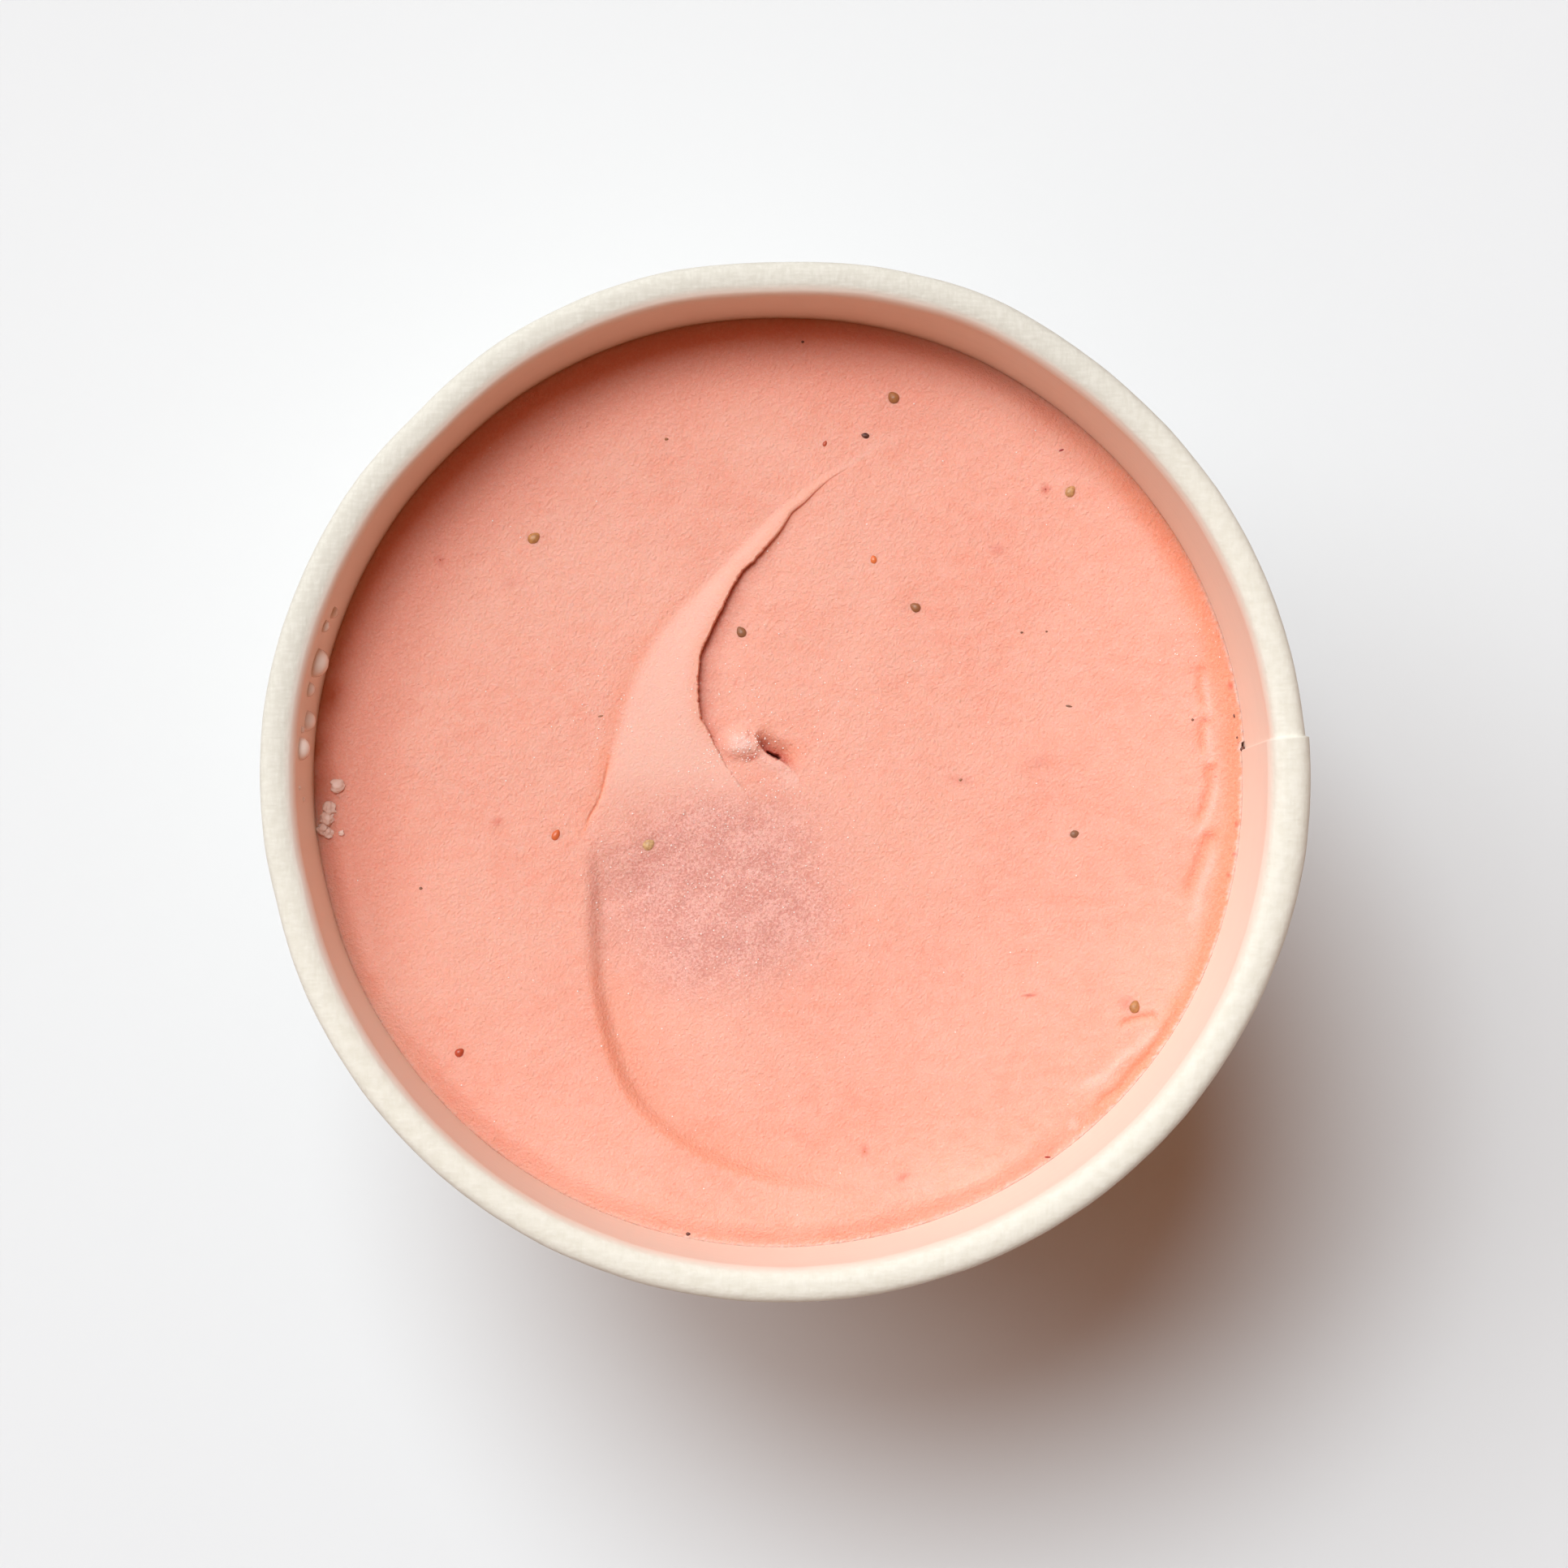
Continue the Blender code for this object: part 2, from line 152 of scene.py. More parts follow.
def mix(tree, share, first, second):
    """Mixes two colours."""
    colours = {0: share, 6: first, 7: second}
    for socket in (6, 7):
        if not isinstance(colours[socket], bpy.types.NodeSocket):
            colours[socket] = (*colours[socket], 1)
    return add(tree, "ShaderNodeMix", colours, data_type="RGBA").outputs[2]


def bump(tree, height, depth, strength=1.0, below=None):
    """A bump of this depth in metres, on top of another one."""
    sockets = {"Height": height, "Distance": depth, "Strength": strength}
    if below:
        sockets["Normal"] = below
    return add(tree, "ShaderNodeBump", sockets).outputs[0]


def attribute(tree, name):
    return add(tree, "ShaderNodeAttribute", {}, attribute_name=name).outputs["Fac"]


# %% Floor
floor_paint, tree, shader = new_material("floor", 0.9)
grain = speckle(tree, place_of(tree), 40 * MM)
paint = mix(tree, grain, (0.715, 0.715, 0.715), (0.725, 0.725, 0.725))
tree.links.new(paint, shader.inputs["Base Color"])
shader.inputs["Specular IOR Level"].default_value = 0.1
bm = bmesh.new()
bmesh.ops.create_grid(bm, x_segments=1, y_segments=1, size=3)
mesh = bpy.data.meshes.new("floor")
bm.to_mesh(mesh)
bm.free()
mesh.materials.append(floor_paint)
floor = bpy.data.objects.new("floor", mesh)
bpy.context.scene.collection.objects.link(floor)

# %% [markdown]
# ## Helpers for shapes
# Pieces are made with bmesh operators as plain turned or gridded forms. Their vertices are then
# moved by a law, such as a push on the rim or the height of a wave. Laws work on whole arrays of
# places at once, because the ice cream alone has about a hundred thousand vertices.

# %% Laws
def ease(low, high, value):
    """0 below low, 1 above high, and an S between them."""
    share = np.clip((value - low) / (high - low), 0, 1)
    return share * share * (3 - 2 * share)


def between(rise, fall, value):
    """1 between two stretches of the value. It eases in over the first and out over the second."""
    return ease(*rise, value) * (1 - ease(*fall, value))


def bell(distance, width):
    """1 at no distance, and close to 0 past about twice the width."""
    return np.exp(-((distance / width) ** 2))


def lumps(places, size, shift=0.0):
    """Soft noise from -1 to 1 with blobs of about this size, at rows of two or three coordinates."""
    scaled = np.column_stack([places / size, np.zeros((len(places), 3 - places.shape[1]))]) + shift
    return np.array([noise.noise(Vector(place)) for place in scaled])


# %% Meshes and pieces
def places_of(mesh):
    flat = np.empty(len(mesh.vertices) * 3)
    mesh.vertices.foreach_get("co", flat)
    return flat.reshape(-1, 3)


def move_to(mesh, places):
    mesh.vertices.foreach_set("co", places.astype(np.float32).ravel())
    mesh.update()


def keep_value(mesh, name, values):
    """Stores one number for each vertex, which materials can read."""
    mesh.attributes.new(name, "FLOAT", "POINT").data.foreach_set("value", values.astype(np.float32))


def value_of(mesh, name):
    values = np.empty(len(mesh.vertices))
    mesh.attributes[name].data.foreach_get("value", values)
    return values


def new_piece(name, mesh, material, slot, *nodes):
    """A piece of the object: it rides on the one body and stands for these nodes."""
    piece = bpy.data.objects.new(name, mesh)
    bpy.context.scene.collection.objects.link(piece)
    mesh.materials.append(material)
    mesh.shade_smooth()
    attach(piece, "root")
    if nodes:
        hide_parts(*nodes)
    mesh.calc_loop_triangles()
    print(name, len(mesh.loop_triangles), "triangles")
    return piece


def mesh_from(bm, name):
    mesh = bpy.data.meshes.new(name)
    bm.to_mesh(mesh)
    bm.free()
    return mesh


# %% [markdown]
# ## The tub's side
# The side is one sheet of board, half a millimetre thick. It is rolled into a cone, lapped over
# itself at a seam, curled outwards at the top and folded up inside the foot. A turned shape could
# be a Screw modifier on a curve, but the sheet has a thickness and two different faces, so its
# closed section is drawn in the plane and spun with an operator. Each vertex carries a number
# that says which face it lies on and how far along the sheet it is.

# %% Sizes of the side
RIM_RADIUS = 49 * MM
FOOT_RADIUS = 40 * MM
BOARD = 0.5 * MM
CURL_RADIUS = 1.65 * MM
CURL_END = math.radians(-120)
SQUARENESS = 3.2  # 2 is a round curl, and more is a curl pressed flat on top
FIT_GAP = 0.3 * MM
SKIRT_BOARD = 0.4 * MM
FOLD_CORNER = 0.4 * MM
HEM_TOP = 5.2 * MM
SIDE_COLUMNS = 360
WALL_ROWS = 26

curl_centre = Vector((RIM_RADIUS - CURL_RADIUS, CUP_HEIGHT - CURL_RADIUS))
foot_line = Vector((FOOT_RADIUS - BOARD / 2, BOARD / 2 + FOLD_CORNER))
to_curl = curl_centre - foot_line
LEAN = math.atan2(to_curl.x, to_curl.y) - math.asin((CURL_RADIUS - BOARD / 2) / to_curl.length)


def inner_radius(height):
    """Radius of the side's inner face, away from the seam."""
    return foot_line.x + (height - foot_line.y) * math.tan(LEAN) - BOARD / 2 / math.cos(LEAN)


# %% The side's section
def around(start, end, steps):
    return [start + (end - start) * k / steps for k in range(steps + 1)]


def side_path():
    """The sheet's centre line from the hem to the curl's end, with the direction of its inner face."""
    drop = BOARD + 2 * FIT_GAP + SKIRT_BOARD
    lean = Vector((math.sin(LEAN), math.cos(LEAN)))
    inward = Vector((-math.cos(LEAN), math.sin(LEAN)))
    inner_corner = Vector((foot_line.x - drop + FOLD_CORNER, foot_line.y))
    outer_corner = Vector((foot_line.x - FOLD_CORNER, foot_line.y))
    hem_foot = inner_corner - Vector((FOLD_CORNER, 0))
    path = [(hem_foot + lean * (HEM_TOP - hem_foot.y), -inward)]
    for centre, start in ((inner_corner, math.pi), (outer_corner, 1.5 * math.pi)):
        for angle in around(start, start + math.pi / 2, 4):
            out = Vector((math.cos(angle), math.sin(angle)))
            path.append((centre + out * FOLD_CORNER, -out))
    wall_top = curl_centre + inward * (CURL_RADIUS - BOARD / 2)
    for k in range(1, WALL_ROWS):
        path.append((foot_line.lerp(wall_top, (k / WALL_ROWS) ** 0.75), inward))
    path.append((foot_line.lerp(wall_top, 0.998), inward))
    # Without the arc's first steps the sheet keeps a fine crease where the curl begins
    turns = around(math.pi - LEAN, CURL_END, 30)
    for angle in turns[:1] + turns[4:]:
        out = Vector((math.cos(angle), math.sin(angle)))
        # The curl is pressed between rollers, so its outer quarter bulges a little past a circle
        bulge = (abs(out.x) ** SQUARENESS + abs(out.y) ** SQUARENESS) ** (-1 / SQUARENESS)
        pressed = 1 + (bulge - 1) * (1 if out.x > 0 and out.y > -0.2 else 0.35)
        path.append((curl_centre + out * (CURL_RADIUS * pressed - BOARD / 2), out))
    return path


path = side_path()
bm = bmesh.new()
row_layer = bm.verts.layers.float.new("row")
face_layer = bm.verts.layers.float.new("inner_face")
ring = []
for direction, rows in ((1, range(len(path))), (-1, reversed(range(len(path))))):
    for row in rows:
        point, normal = path[row]
        corner = point + normal * direction * BOARD / 2
        vertex = bm.verts.new((corner.x, 0, corner.y))
        vertex[row_layer] = row
        vertex[face_layer] = (1 + direction) / 2
        ring.append(vertex)
section = [bm.edges.new(pair) for pair in zip(ring, ring[1:] + ring[:1])]
bmesh.ops.spin(
    bm, geom=section, axis=(0, 0, 1), cent=(0, 0, 0), angle=math.tau, steps=SIDE_COLUMNS, use_merge=True
)
bmesh.ops.recalc_face_normals(bm, faces=bm.faces)
side_mesh = mesh_from(bm, "tub_side")
print("side section:", len(ring), "points")

# %% The seam and the rim's dents
SEAM_AZIMUTH = math.radians(5)
SEAM_STEP = math.radians(0.12)
SEAM_SLANT = math.radians(0.8) / (14 * MM)
LAP_THICKNESS = 0.335 * MM
LAP_WIDTH = math.radians(8.7)
LAP_RELAX = math.radians(32)
LAP_STARTS = 9 * MM
LAP_FULL = 16 * MM
# Azimuth and width in degrees, and push in millimetres
RIM_PUSHES = [
    (135, 7, -0.33),
    (92, 9, -0.44),
    (265, 22, -0.20),
    (45, 14, -0.12),
    (312, 16, -0.12),
    (194, 5, -0.18),
    (290, 15, -0.15),
    (67, 7, 0.30),
    (170, 10, 0.17),
]
CRUMPLE = 0.04 * MM


def rim_push(azimuth, height):
    """How far the rim is pushed out at each azimuth. The push dies away down the side."""
    push = np.zeros(len(azimuth))
    for centre, width, amount in RIM_PUSHES:
        turned = (np.degrees(azimuth) - centre + 180) % 360 - 180
        push += amount * MM * bell(turned, width)
    return push * (np.maximum(0, height) / CUP_HEIGHT) ** 6


def lap(azimuth, height, inner_face):
    """How far the sheet stands off where it lies on its own start."""
    past = (SEAM_AZIMUTH - azimuth) % math.tau
    pressed = LAP_THICKNESS * ease(LAP_STARTS, LAP_FULL, height)
    stand_off = pressed * (1 - ease(LAP_WIDTH, LAP_WIDTH + LAP_RELAX, past))
    stand_off[past < SEAM_STEP / 2] = 0
    return np.where((inner_face > 0.5) | (past > LAP_WIDTH), stand_off, 0)


places = places_of(side_mesh)
column = math.tau / SIDE_COLUMNS
turned = (np.arctan2(places[:, 1], places[:, 0]) + column / 2) % math.tau - column / 2
# The columns next to the seam crowd against it, so that the lap's cut edge stays sharp
crowded = np.radians([0, 0.12, 0.4, 1.2, 3.4])
last = math.tau - SEAM_STEP
at_columns = column * np.array([0, 1, 2, 3, 4, *(SIDE_COLUMNS - 1 - np.arange(5)[::-1])])
azimuth = SEAM_AZIMUTH + np.interp(turned, at_columns, [*crowded, *(last - crowded[::-1])])
radius, height = np.hypot(places[:, 0], places[:, 1]), places[:, 2]
inner_face = value_of(side_mesh, "inner_face")
rows = np.rint(value_of(side_mesh, "row")).astype(int)
normals = np.array([tuple(normal) for _, normal in path])[rows]
stand_off = lap(azimuth, height, inner_face)
in_curl = ease(93 * MM, 96.5 * MM, height)
spun = np.column_stack([np.cos(azimuth), np.sin(azimuth)]) * RIM_RADIUS
wobble = lumps(np.column_stack([spun, height * 3]), 5 * MM)
wobble += 0.6 * lumps(np.column_stack([spun, height * 2]), 2 * MM)
radius = radius + normals[:, 0] * stand_off + rim_push(azimuth, height) + wobble * CRUMPLE * in_curl
height = height + normals[:, 1] * stand_off + 0.5 * CRUMPLE * in_curl * lumps(spun, 7 * MM, 9.0)
azimuth = azimuth - SEAM_SLANT * (CUP_HEIGHT - places[:, 2])
move_to(side_mesh, np.column_stack([radius * np.cos(azimuth), radius * np.sin(azimuth), height]))
print("the side's largest radius:", round(float(radius.max()) / MM, 2), "mm")

# %% Where the film and the damp are
# Azimuth in degrees, and how far out on the curl the film's tint stops being full and where it
# ends, in millimetres
FILM_EDGE = [
    (0, 0.0, 0.4),
    (45, 0.1, 0.8),
    (90, 0.35, 1.35),
    (135, 0.35, 1.25),
    (180, 0.1, 1.2),
    (225, 0.0, 0.7),
    (315, 0.0, 0.4),
]
# Stretches of azimuth in degrees over which the painted shade on the rim's back and the painted light
# on the film at the left come in and go, and the heights in millimetres over which the painted shade
# comes in
RIM_SHADE_COMES, RIM_SHADE_GOES = (25, 60), (160, 215)
RIM_SHADE_RISES = (91, 95)
RIM_SHADE_SHARE = 0.8
FILM_LIGHT_COMES, FILM_LIGHT_GOES = (135, 165), (205, 235)

film_azimuths, full_until, gone_after = np.array(FILM_EDGE).T
degrees = np.degrees(azimuth) % 360
out_on_curl = (np.hypot(places[:, 0], places[:, 1]) - (RIM_RADIUS - 2 * CURL_RADIUS)) / MM
film_full = np.interp(degrees, film_azimuths, full_until, period=360)
film_end = np.interp(degrees, film_azimuths, gone_after, period=360)
film_share = inner_face * (1 - ease(0, 1, (out_on_curl - film_full) / (film_end - film_full)))
# Painted shade: the board at the back of the rim is darker, on the side towards the lamps
rim_shade_share = between(RIM_SHADE_COMES, RIM_SHADE_GOES, degrees) * ease(*RIM_SHADE_RISES, height / MM) * RIM_SHADE_SHARE
keep_value(side_mesh, "film", film_share)
keep_value(side_mesh, "rim_shade", rim_shade_share)
# Painted light: where the film on the left of the inner wall is lighter
keep_value(side_mesh, "film_light", between(FILM_LIGHT_COMES, FILM_LIGHT_GOES, degrees))
print("share of the side's vertices under the film:", round(float(film_share.mean()), 2))

# %% [markdown]
# ## Board
# The outside and the rim are bare off-white board. Its fibres lie flat and crossed, which shows as soft
# spots of light about a millimetre wide and as fine short streaks. The inside has a thin plastic film,
# so it is smoother and shines a little, and melted ice cream has tinted it. Three values stored on the
# mesh say where the film lies, where painted light makes the film lighter on the left of the inner
# wall, and where painted shade darkens the back of the rim. A painted picture could say the same, but a
# value needs no unwrapping.

# %% The board's material
BOARD_WHITE = (0.775, 0.725, 0.625)
BOARD_SHADE = (0.725, 0.675, 0.57)
FILM_TINT = (0.94, 0.79, 0.68)
LIGHTENED_FILM = (0.98, 0.89, 0.80)
SHADED_BOARD = (0.60, 0.565, 0.49)
FIBRE_WHITE = (0.83, 0.79, 0.71)
BARE_ROUGHNESS, FILM_ROUGHNESS = 0.62, 0.38

board, tree, shader = new_material("board", BARE_ROUGHNESS)
shader.inputs["Specular IOR Level"].default_value = 0.12
flat_place = place_of(tree)
blotch = speckle(tree, flat_place, 1.1 * MM, 3)
fibres = speckle(tree, place_of(tree, (1, 0.22, 1)), 0.30 * MM, 2)
crossed = speckle(tree, place_of(tree, (0.22, 1, 0.5)), 0.30 * MM, 2)
fibre = times(tree, fibres, crossed)
bare = mix(tree, ramp(tree, blotch, 0.3, 0.7), BOARD_SHADE, BOARD_WHITE)
# Painted shade on the back of the rim
bare = mix(tree, attribute(tree, "rim_shade"), bare, SHADED_BOARD)
bare = mix(tree, ramp(tree, fibre, 0.12, 0.4, 0.0, 0.30), bare, FIBRE_WHITE)
coated = attribute(tree, "film")
# The rollers left level streaks in the film
rolled = speckle(tree, place_of(tree, (0.04, 0.04, 1)), 0.6 * MM, 3)
film = mix(tree, rolled, [0.94 * part for part in FILM_TINT], FILM_TINT)
# Painted light: the film is lighter on the left of the inner wall, standing in for light that it lacks
film = mix(tree, attribute(tree, "film_light"), film, LIGHTENED_FILM)
tree.links.new(mix(tree, coated, bare, film), shader.inputs["Base Color"])
rough = ramp(tree, coated, 0.0, 1.0, BARE_ROUGHNESS, FILM_ROUGHNESS)
tree.links.new(rough, shader.inputs["Roughness"])
rough_share = ramp(tree, coated, 0.0, 1.0, 1.0, 0.12)
coarse = bump(tree, times(tree, blotch, rough_share), 0.07 * MM)
relief = bump(tree, times(tree, fibre, rough_share), 0.05 * MM, below=coarse)
tree.links.new(relief, shader.inputs["Normal"])
new_piece("tub_side", side_mesh, board, "board", "cup_side")

# %% [markdown]
# ## The tub's bottom
# A disc of board with a skirt turned down, which the foot's fold holds. An open sheet is spun and
# a Solidify modifier gives it the board's thickness.

# %% Bottom
BOTTOM_TOP = 7.0 * MM
BOTTOM_CORNER = 0.8 * MM
SKIRT_END = 1.0 * MM
BOTTOM_COLUMNS = 180
CENTRE_HOLE = 0.5 * MM  # radius of the ring that the spin starts from, which one face then fills

corner = Vector((inner_radius(BOTTOM_TOP) - FIT_GAP - BOTTOM_CORNER, BOTTOM_TOP - BOTTOM_CORNER))
turns = around(0.0, math.pi / 2 - LEAN, 6)
sheet = [Vector((CENTRE_HOLE, BOTTOM_TOP)), Vector((corner.x * 0.5, BOTTOM_TOP))]
sheet += [corner + Vector((math.sin(a), math.cos(a))) * BOTTOM_CORNER for a in turns]
sheet += [Vector((inner_radius(SKIRT_END) - FIT_GAP, SKIRT_END))]
bm = bmesh.new()
verts = [bm.verts.new((p.x, 0, p.y)) for p in sheet]
edges = [bm.edges.new(pair) for pair in zip(verts, verts[1:])]
bmesh.ops.spin(
    bm, geom=edges, axis=(0, 0, 1), cent=(0, 0, 0), angle=math.tau, steps=BOTTOM_COLUMNS, use_merge=True
)
middle = [edge for edge in bm.edges if edge.is_boundary and edge.verts[0].co.z > SKIRT_END * 2]
bmesh.ops.contextual_create(bm, geom=middle)
bmesh.ops.recalc_face_normals(bm, faces=bm.faces)
bottom_mesh = mesh_from(bm, "tub_bottom")
top_face = max(bottom_mesh.polygons, key=lambda face: face.center.z)
if top_face.normal.z < 0:
    bottom_mesh.flip_normals()
tub_bottom = new_piece("tub_bottom", bottom_mesh, board, "board", "cup_bottom")
thick = tub_bottom.modifiers.new("board", "SOLIDIFY")
thick.thickness = SKIRT_BOARD
thick.offset = -1
thick.use_even_offset = True

# %% [markdown]
# ## The ice cream's lines
# The nozzle's last ribbon came in from the back and curled up in the middle. Its right edge tore
# off and stands as a small cliff. Its left side fades into the rest, and runs on round the front
# as the low step of a shallow bowl. Each line is a smooth curve through a few points on the plan,
# in millimetres from the tub's axis.

# %% Lines on the plan
TORN_EDGE = [
    (7.4, 30.9), (6.05, 29.98), (4.61, 29.09), (3.18, 27.83), (2.11, 26.75), (1.03, 25.91),
    (0.55, 25.2), (-0.29, 23.94), (-1.72, 22.33), (-2.91, 21.02), (-3.75, 20.35), (-4.61, 18.98),
    (-5.31, 17.54), (-6.15, 15.87), (-7.0, 14.14), (-7.66, 12.66), (-7.95, 10.94), (-8.06, 8.59),
    (-7.85, 6.8), (-7.34, 5.39), (-6.48, 3.75), (-5.78, 2.34), (-5.0, 1.09), (-4.4, 0.2),
]
RIBBON_START = [
    (7.4, 31.9), (-0.4, 26.4), (-6.4, 20.2), (-12.0, 14.4), (-15.2, 8.0), (-16.9, 1.2), (-18.9, -4.6),
]
FRONT_STEP = [
    (-18.9, -4.6), (-18.9, -12.0), (-18.3, -21.0), (-15.2, -30.0), (-8.6, -35.8), (2.0, -39.3),
    (14.8, -39.6), (26.5, -35.8),
]


def smooth_line(points, steps=12):
    """Points along a smooth curve that passes through the given ones."""
    ends = np.array([points[0], *points, points[-1]])
    share = np.arange(steps)[:, None] / steps
    curve = []
    for a, b, c, d in zip(ends, ends[1:], ends[2:], ends[3:]):
        bend = (2 * a - 5 * b + 4 * c - d) * share**2 + (3 * b - a - 3 * c + d) * share**3
        curve.append((2 * b + (c - a) * share + bend) / 2)
    return np.vstack([*curve, ends[-1]])


def beside(line, places):
    """How far each place is from a line, positive on its left, and what share of the way along."""
    runs = np.diff(line, axis=0)
    lengths = np.hypot(*runs.T)
    walked = np.concatenate([[0], np.cumsum(lengths)])
    nearest = np.full(len(places), np.inf)
    side, share = np.ones(len(places)), np.zeros(len(places))
    for start, run, length, before in zip(line, runs, lengths, walked):
        along = run / length
        offset = places - start
        reach = np.clip(offset @ along, 0, length)
        gap = offset - reach[:, None] * along
        distance = np.hypot(gap[:, 0], gap[:, 1])
        closer = distance < nearest
        nearest[closer] = distance[closer]
        side[closer] = np.where(along[0] * gap[closer, 1] >= along[1] * gap[closer, 0], 1, -1)
        share[closer] = (before + reach[closer]) / walked[-1]
    return nearest * side, share


torn_line = smooth_line(TORN_EDGE, 4)
start_line, step_line = smooth_line(RIBBON_START), smooth_line(FRONT_STEP)
print("torn edge", round(float(np.hypot(*np.diff(torn_line, axis=0).T).sum()), 1), "mm long")

# %% [markdown]
# ## The ice cream's surface
# The surface is a height above the plan, so it starts as a square grid. The grid is bent into a
# disc, ring by ring, which keeps its cells even and lays the outer ones along the wall. Cells
# near the torn edge, the curl and the wall are split finer. The height is a sum of small laws:
# lean, waves, ribbon, bowl, dents, curl and grain.

# %% Sizes of the surface, in millimetres
ICE_LEVEL = 83.7
ICE_LEAN = 1.2
TORN_HEIGHT = 0.75
LIP = 0.20  # how softly the ribbon's back rounds over into the torn edge
START_STEP = 0.20  # how high the ribbon's back starts on its left
VALLEY_DEPTH = 0.62
VALLEY_WIDTH = 5.0
FOOT_DEPTH = 0.06  # the valley is a little deeper at the torn edge's foot
FOOT_WIDTH = 1.5
STEP_DEPTH = 1.1
STEP_WIDTH = 1.7
STEP_FADE = 15.0
WALL_CREEP = 1.0  # how far the surface drops towards the wall
CREEP_WIDTH = 2.6
WAVES = [(0.35, 18.0, 0.0), (0.10, 5.0, 8.0)]  # height and size of the waves, and the noise's shift
NUB = (-3.95, 3.7)
NUB_HEIGHT = 0.85
NUB_STRETCH = 1.3  # how much wider the nub is than deep
# The fold beside the nub, from its far end to where it closes
FOLD_LINE = [
    (-3.2, 5.1), (-2.3, 4.2), (-1.7, 3.2), (-0.85, 2.55), (-0.05, 2.2), (0.7, 1.65), (1.1, 1.05),
]
FOLD_DEPTH = 1.25
# The dark slit in the fold
SLIT = [(-1.6, 2.95), (-1.2, 2.75), (-0.8, 2.55), (-0.45, 2.42), (-0.25, 2.15)]
SLIT_DEPTH = 1.9
# The fine crease where the ribbon's left side runs into the step
CREASE = [(-16.65, 2.5), (-16.8, 1.3), (-17.15, -0.35), (-17.65, -1.9), (-18.5, -3.4), (-18.9, -4.6)]
# Middle line, half width and depth of the grooves near the edge
GROOVES = [
    ([(40.4, 11.3), (40.3, 9.5), (40.5, 8.0), (40.8, 6.6)], 0.45, 0.26),
    ([(41.3, 6.1), (40.6, 5.5), (40.5, 4.5), (40.6, 3.3), (40.8, 2.5)], 0.50, 0.30),
    ([(41.6, 1.8), (41.2, 0.94), (41.3, -0.3), (40.9, -1.9), (40.4, -3.4), (39.7, -4.5)], 0.50, 0.36),
    ([(41.8, -4.8), (41.2, -5.6), (40.6, -7.0), (40.1, -8.3), (39.5, -9.8), (39.1, -11.4),
      (39.1, -12.1)], 0.72, 0.50),
    ([(32.6, -23.3), (34.2, -22.8), (35.6, -22.5), (36.0, -22.9), (35.8, -23.6)], 0.35, 0.32),
    ([(30.2, -31.4), (30.9, -30.6), (32.0, -30.0), (32.9, -29.2), (33.9, -27.9), (35.1, -26.8),
      (36.3, -25.2), (37.3, -23.6), (38.2, -22.3), (38.8, -21.2)], 0.45, 0.30),
]
# The pale burr beside the first grooves is a painted highlight on each groove's lit bank
DRAGGED_BY_WALL = 4  # the first grooves run along the wall, and have a pale burr beside them
# The pale drag mark beside the last groove
DRAG_MARK = [
    (27.2, -30.2), (29.1, -29.3), (30.7, -28.6), (32.0, -27.4), (33.1, -26.4), (34.3, -25.5),
    (35.9, -24.1),
]
DRAG_HEIGHT = 0.12
CREASE_DEPTH = 0.20
wall_at_ice = inner_radius(ICE_LEVEL * MM) / MM
fold_line, slit_line, crease_line, drag_line = (
    smooth_line(line, 6) for line in (FOLD_LINE, SLIT, CREASE, DRAG_MARK)
)
groove_lines = [smooth_line(line, 6) for line, _, _ in GROOVES]


# %% The ribbon and the bowl
# Offsets from a line are in millimetres, and shares are of the way along it
def ribbon_height(plan):
    """The ribbon's back rises to its torn edge, which stands over a narrow valley."""
    torn_offset, torn_share = beside(torn_line, plan)
    start_offset, _ = beside(start_line, plan)
    crumbly = ease(0.22, 0.45, torn_share)
    crumbs = 0.09 * lumps(plan, 1.1) + 0.10 * lumps(plan, 0.42) + 0.07 * lumps(plan, 0.2, 3.0)
    torn_offset = torn_offset + crumbly * crumbs
    size = between((0.0, 0.60), (0.72, 1.0), torn_share)
    ends = between((-6.0, 1.0), (30.0, 32.0), plan[:, 1])
    from_start = np.maximum(0, start_offset)
    across_back = from_start / np.maximum(from_start - torn_offset, 1e-6)
    fading_in = ease(-0.05, 0.12, torn_share)
    back = START_STEP * fading_in * ease(0, 0.9, start_offset)
    back += (TORN_HEIGHT - START_STEP) * size * ease(0.0, 1.0, across_back)
    lip_width = LIP * (1 + 2.2 * (1 - ease(0.0, 0.4, torn_share)))
    lip = np.sqrt(np.clip(1 - (1 - np.clip(-torn_offset / lip_width, 0, 1)) ** 2, 0, 1))
    back *= ends * np.where(torn_share < 0.999, lip, 1)
    foot = FOOT_DEPTH * (1 - ease(0.0, FOOT_WIDTH, torn_offset)) * ease(0.05, 0.35, torn_share)
    valley = -(VALLEY_DEPTH * (1 - ease(0.0, VALLEY_WIDTH, torn_offset)) + foot) * size * ends
    return np.where(torn_offset < 0, back, valley)


def front_step_height(plan):
    """A shallow bowl with a low step round its left and front."""
    offset, share = beside(step_line, plan)
    size = between((0.0, 0.10), (0.80, 1.0), share)
    inside = between((0.0, STEP_WIDTH), (STEP_WIDTH, STEP_FADE), offset)
    return -STEP_DEPTH * size * inside


# %% Grooves, nub and fold
def groove_height(plan):
    """Short grooves at the right, a raised drag mark beside the last one, and the crease."""
    height = np.zeros(len(plan))
    for line, (_, half_width, depth) in zip(groove_lines, GROOVES):
        offset, share = beside(line, plan)
        height -= depth * bell(offset, half_width) * between((-0.01, 0.12), (0.7, 1.01), share)
    offset, share = beside(drag_line, plan)
    height += DRAG_HEIGHT * bell(offset, 0.5) * between((0.0, 0.3), (0.8, 1.0), share)
    offset, share = beside(crease_line, plan)
    return height - CREASE_DEPTH * bell(offset, 0.11) * between((0.0, 0.3), (0.8, 1.0), share)


def distance_from_nub(plan):
    return np.hypot((plan[:, 0] - NUB[0]) / NUB_STRETCH, plan[:, 1] - NUB[1])


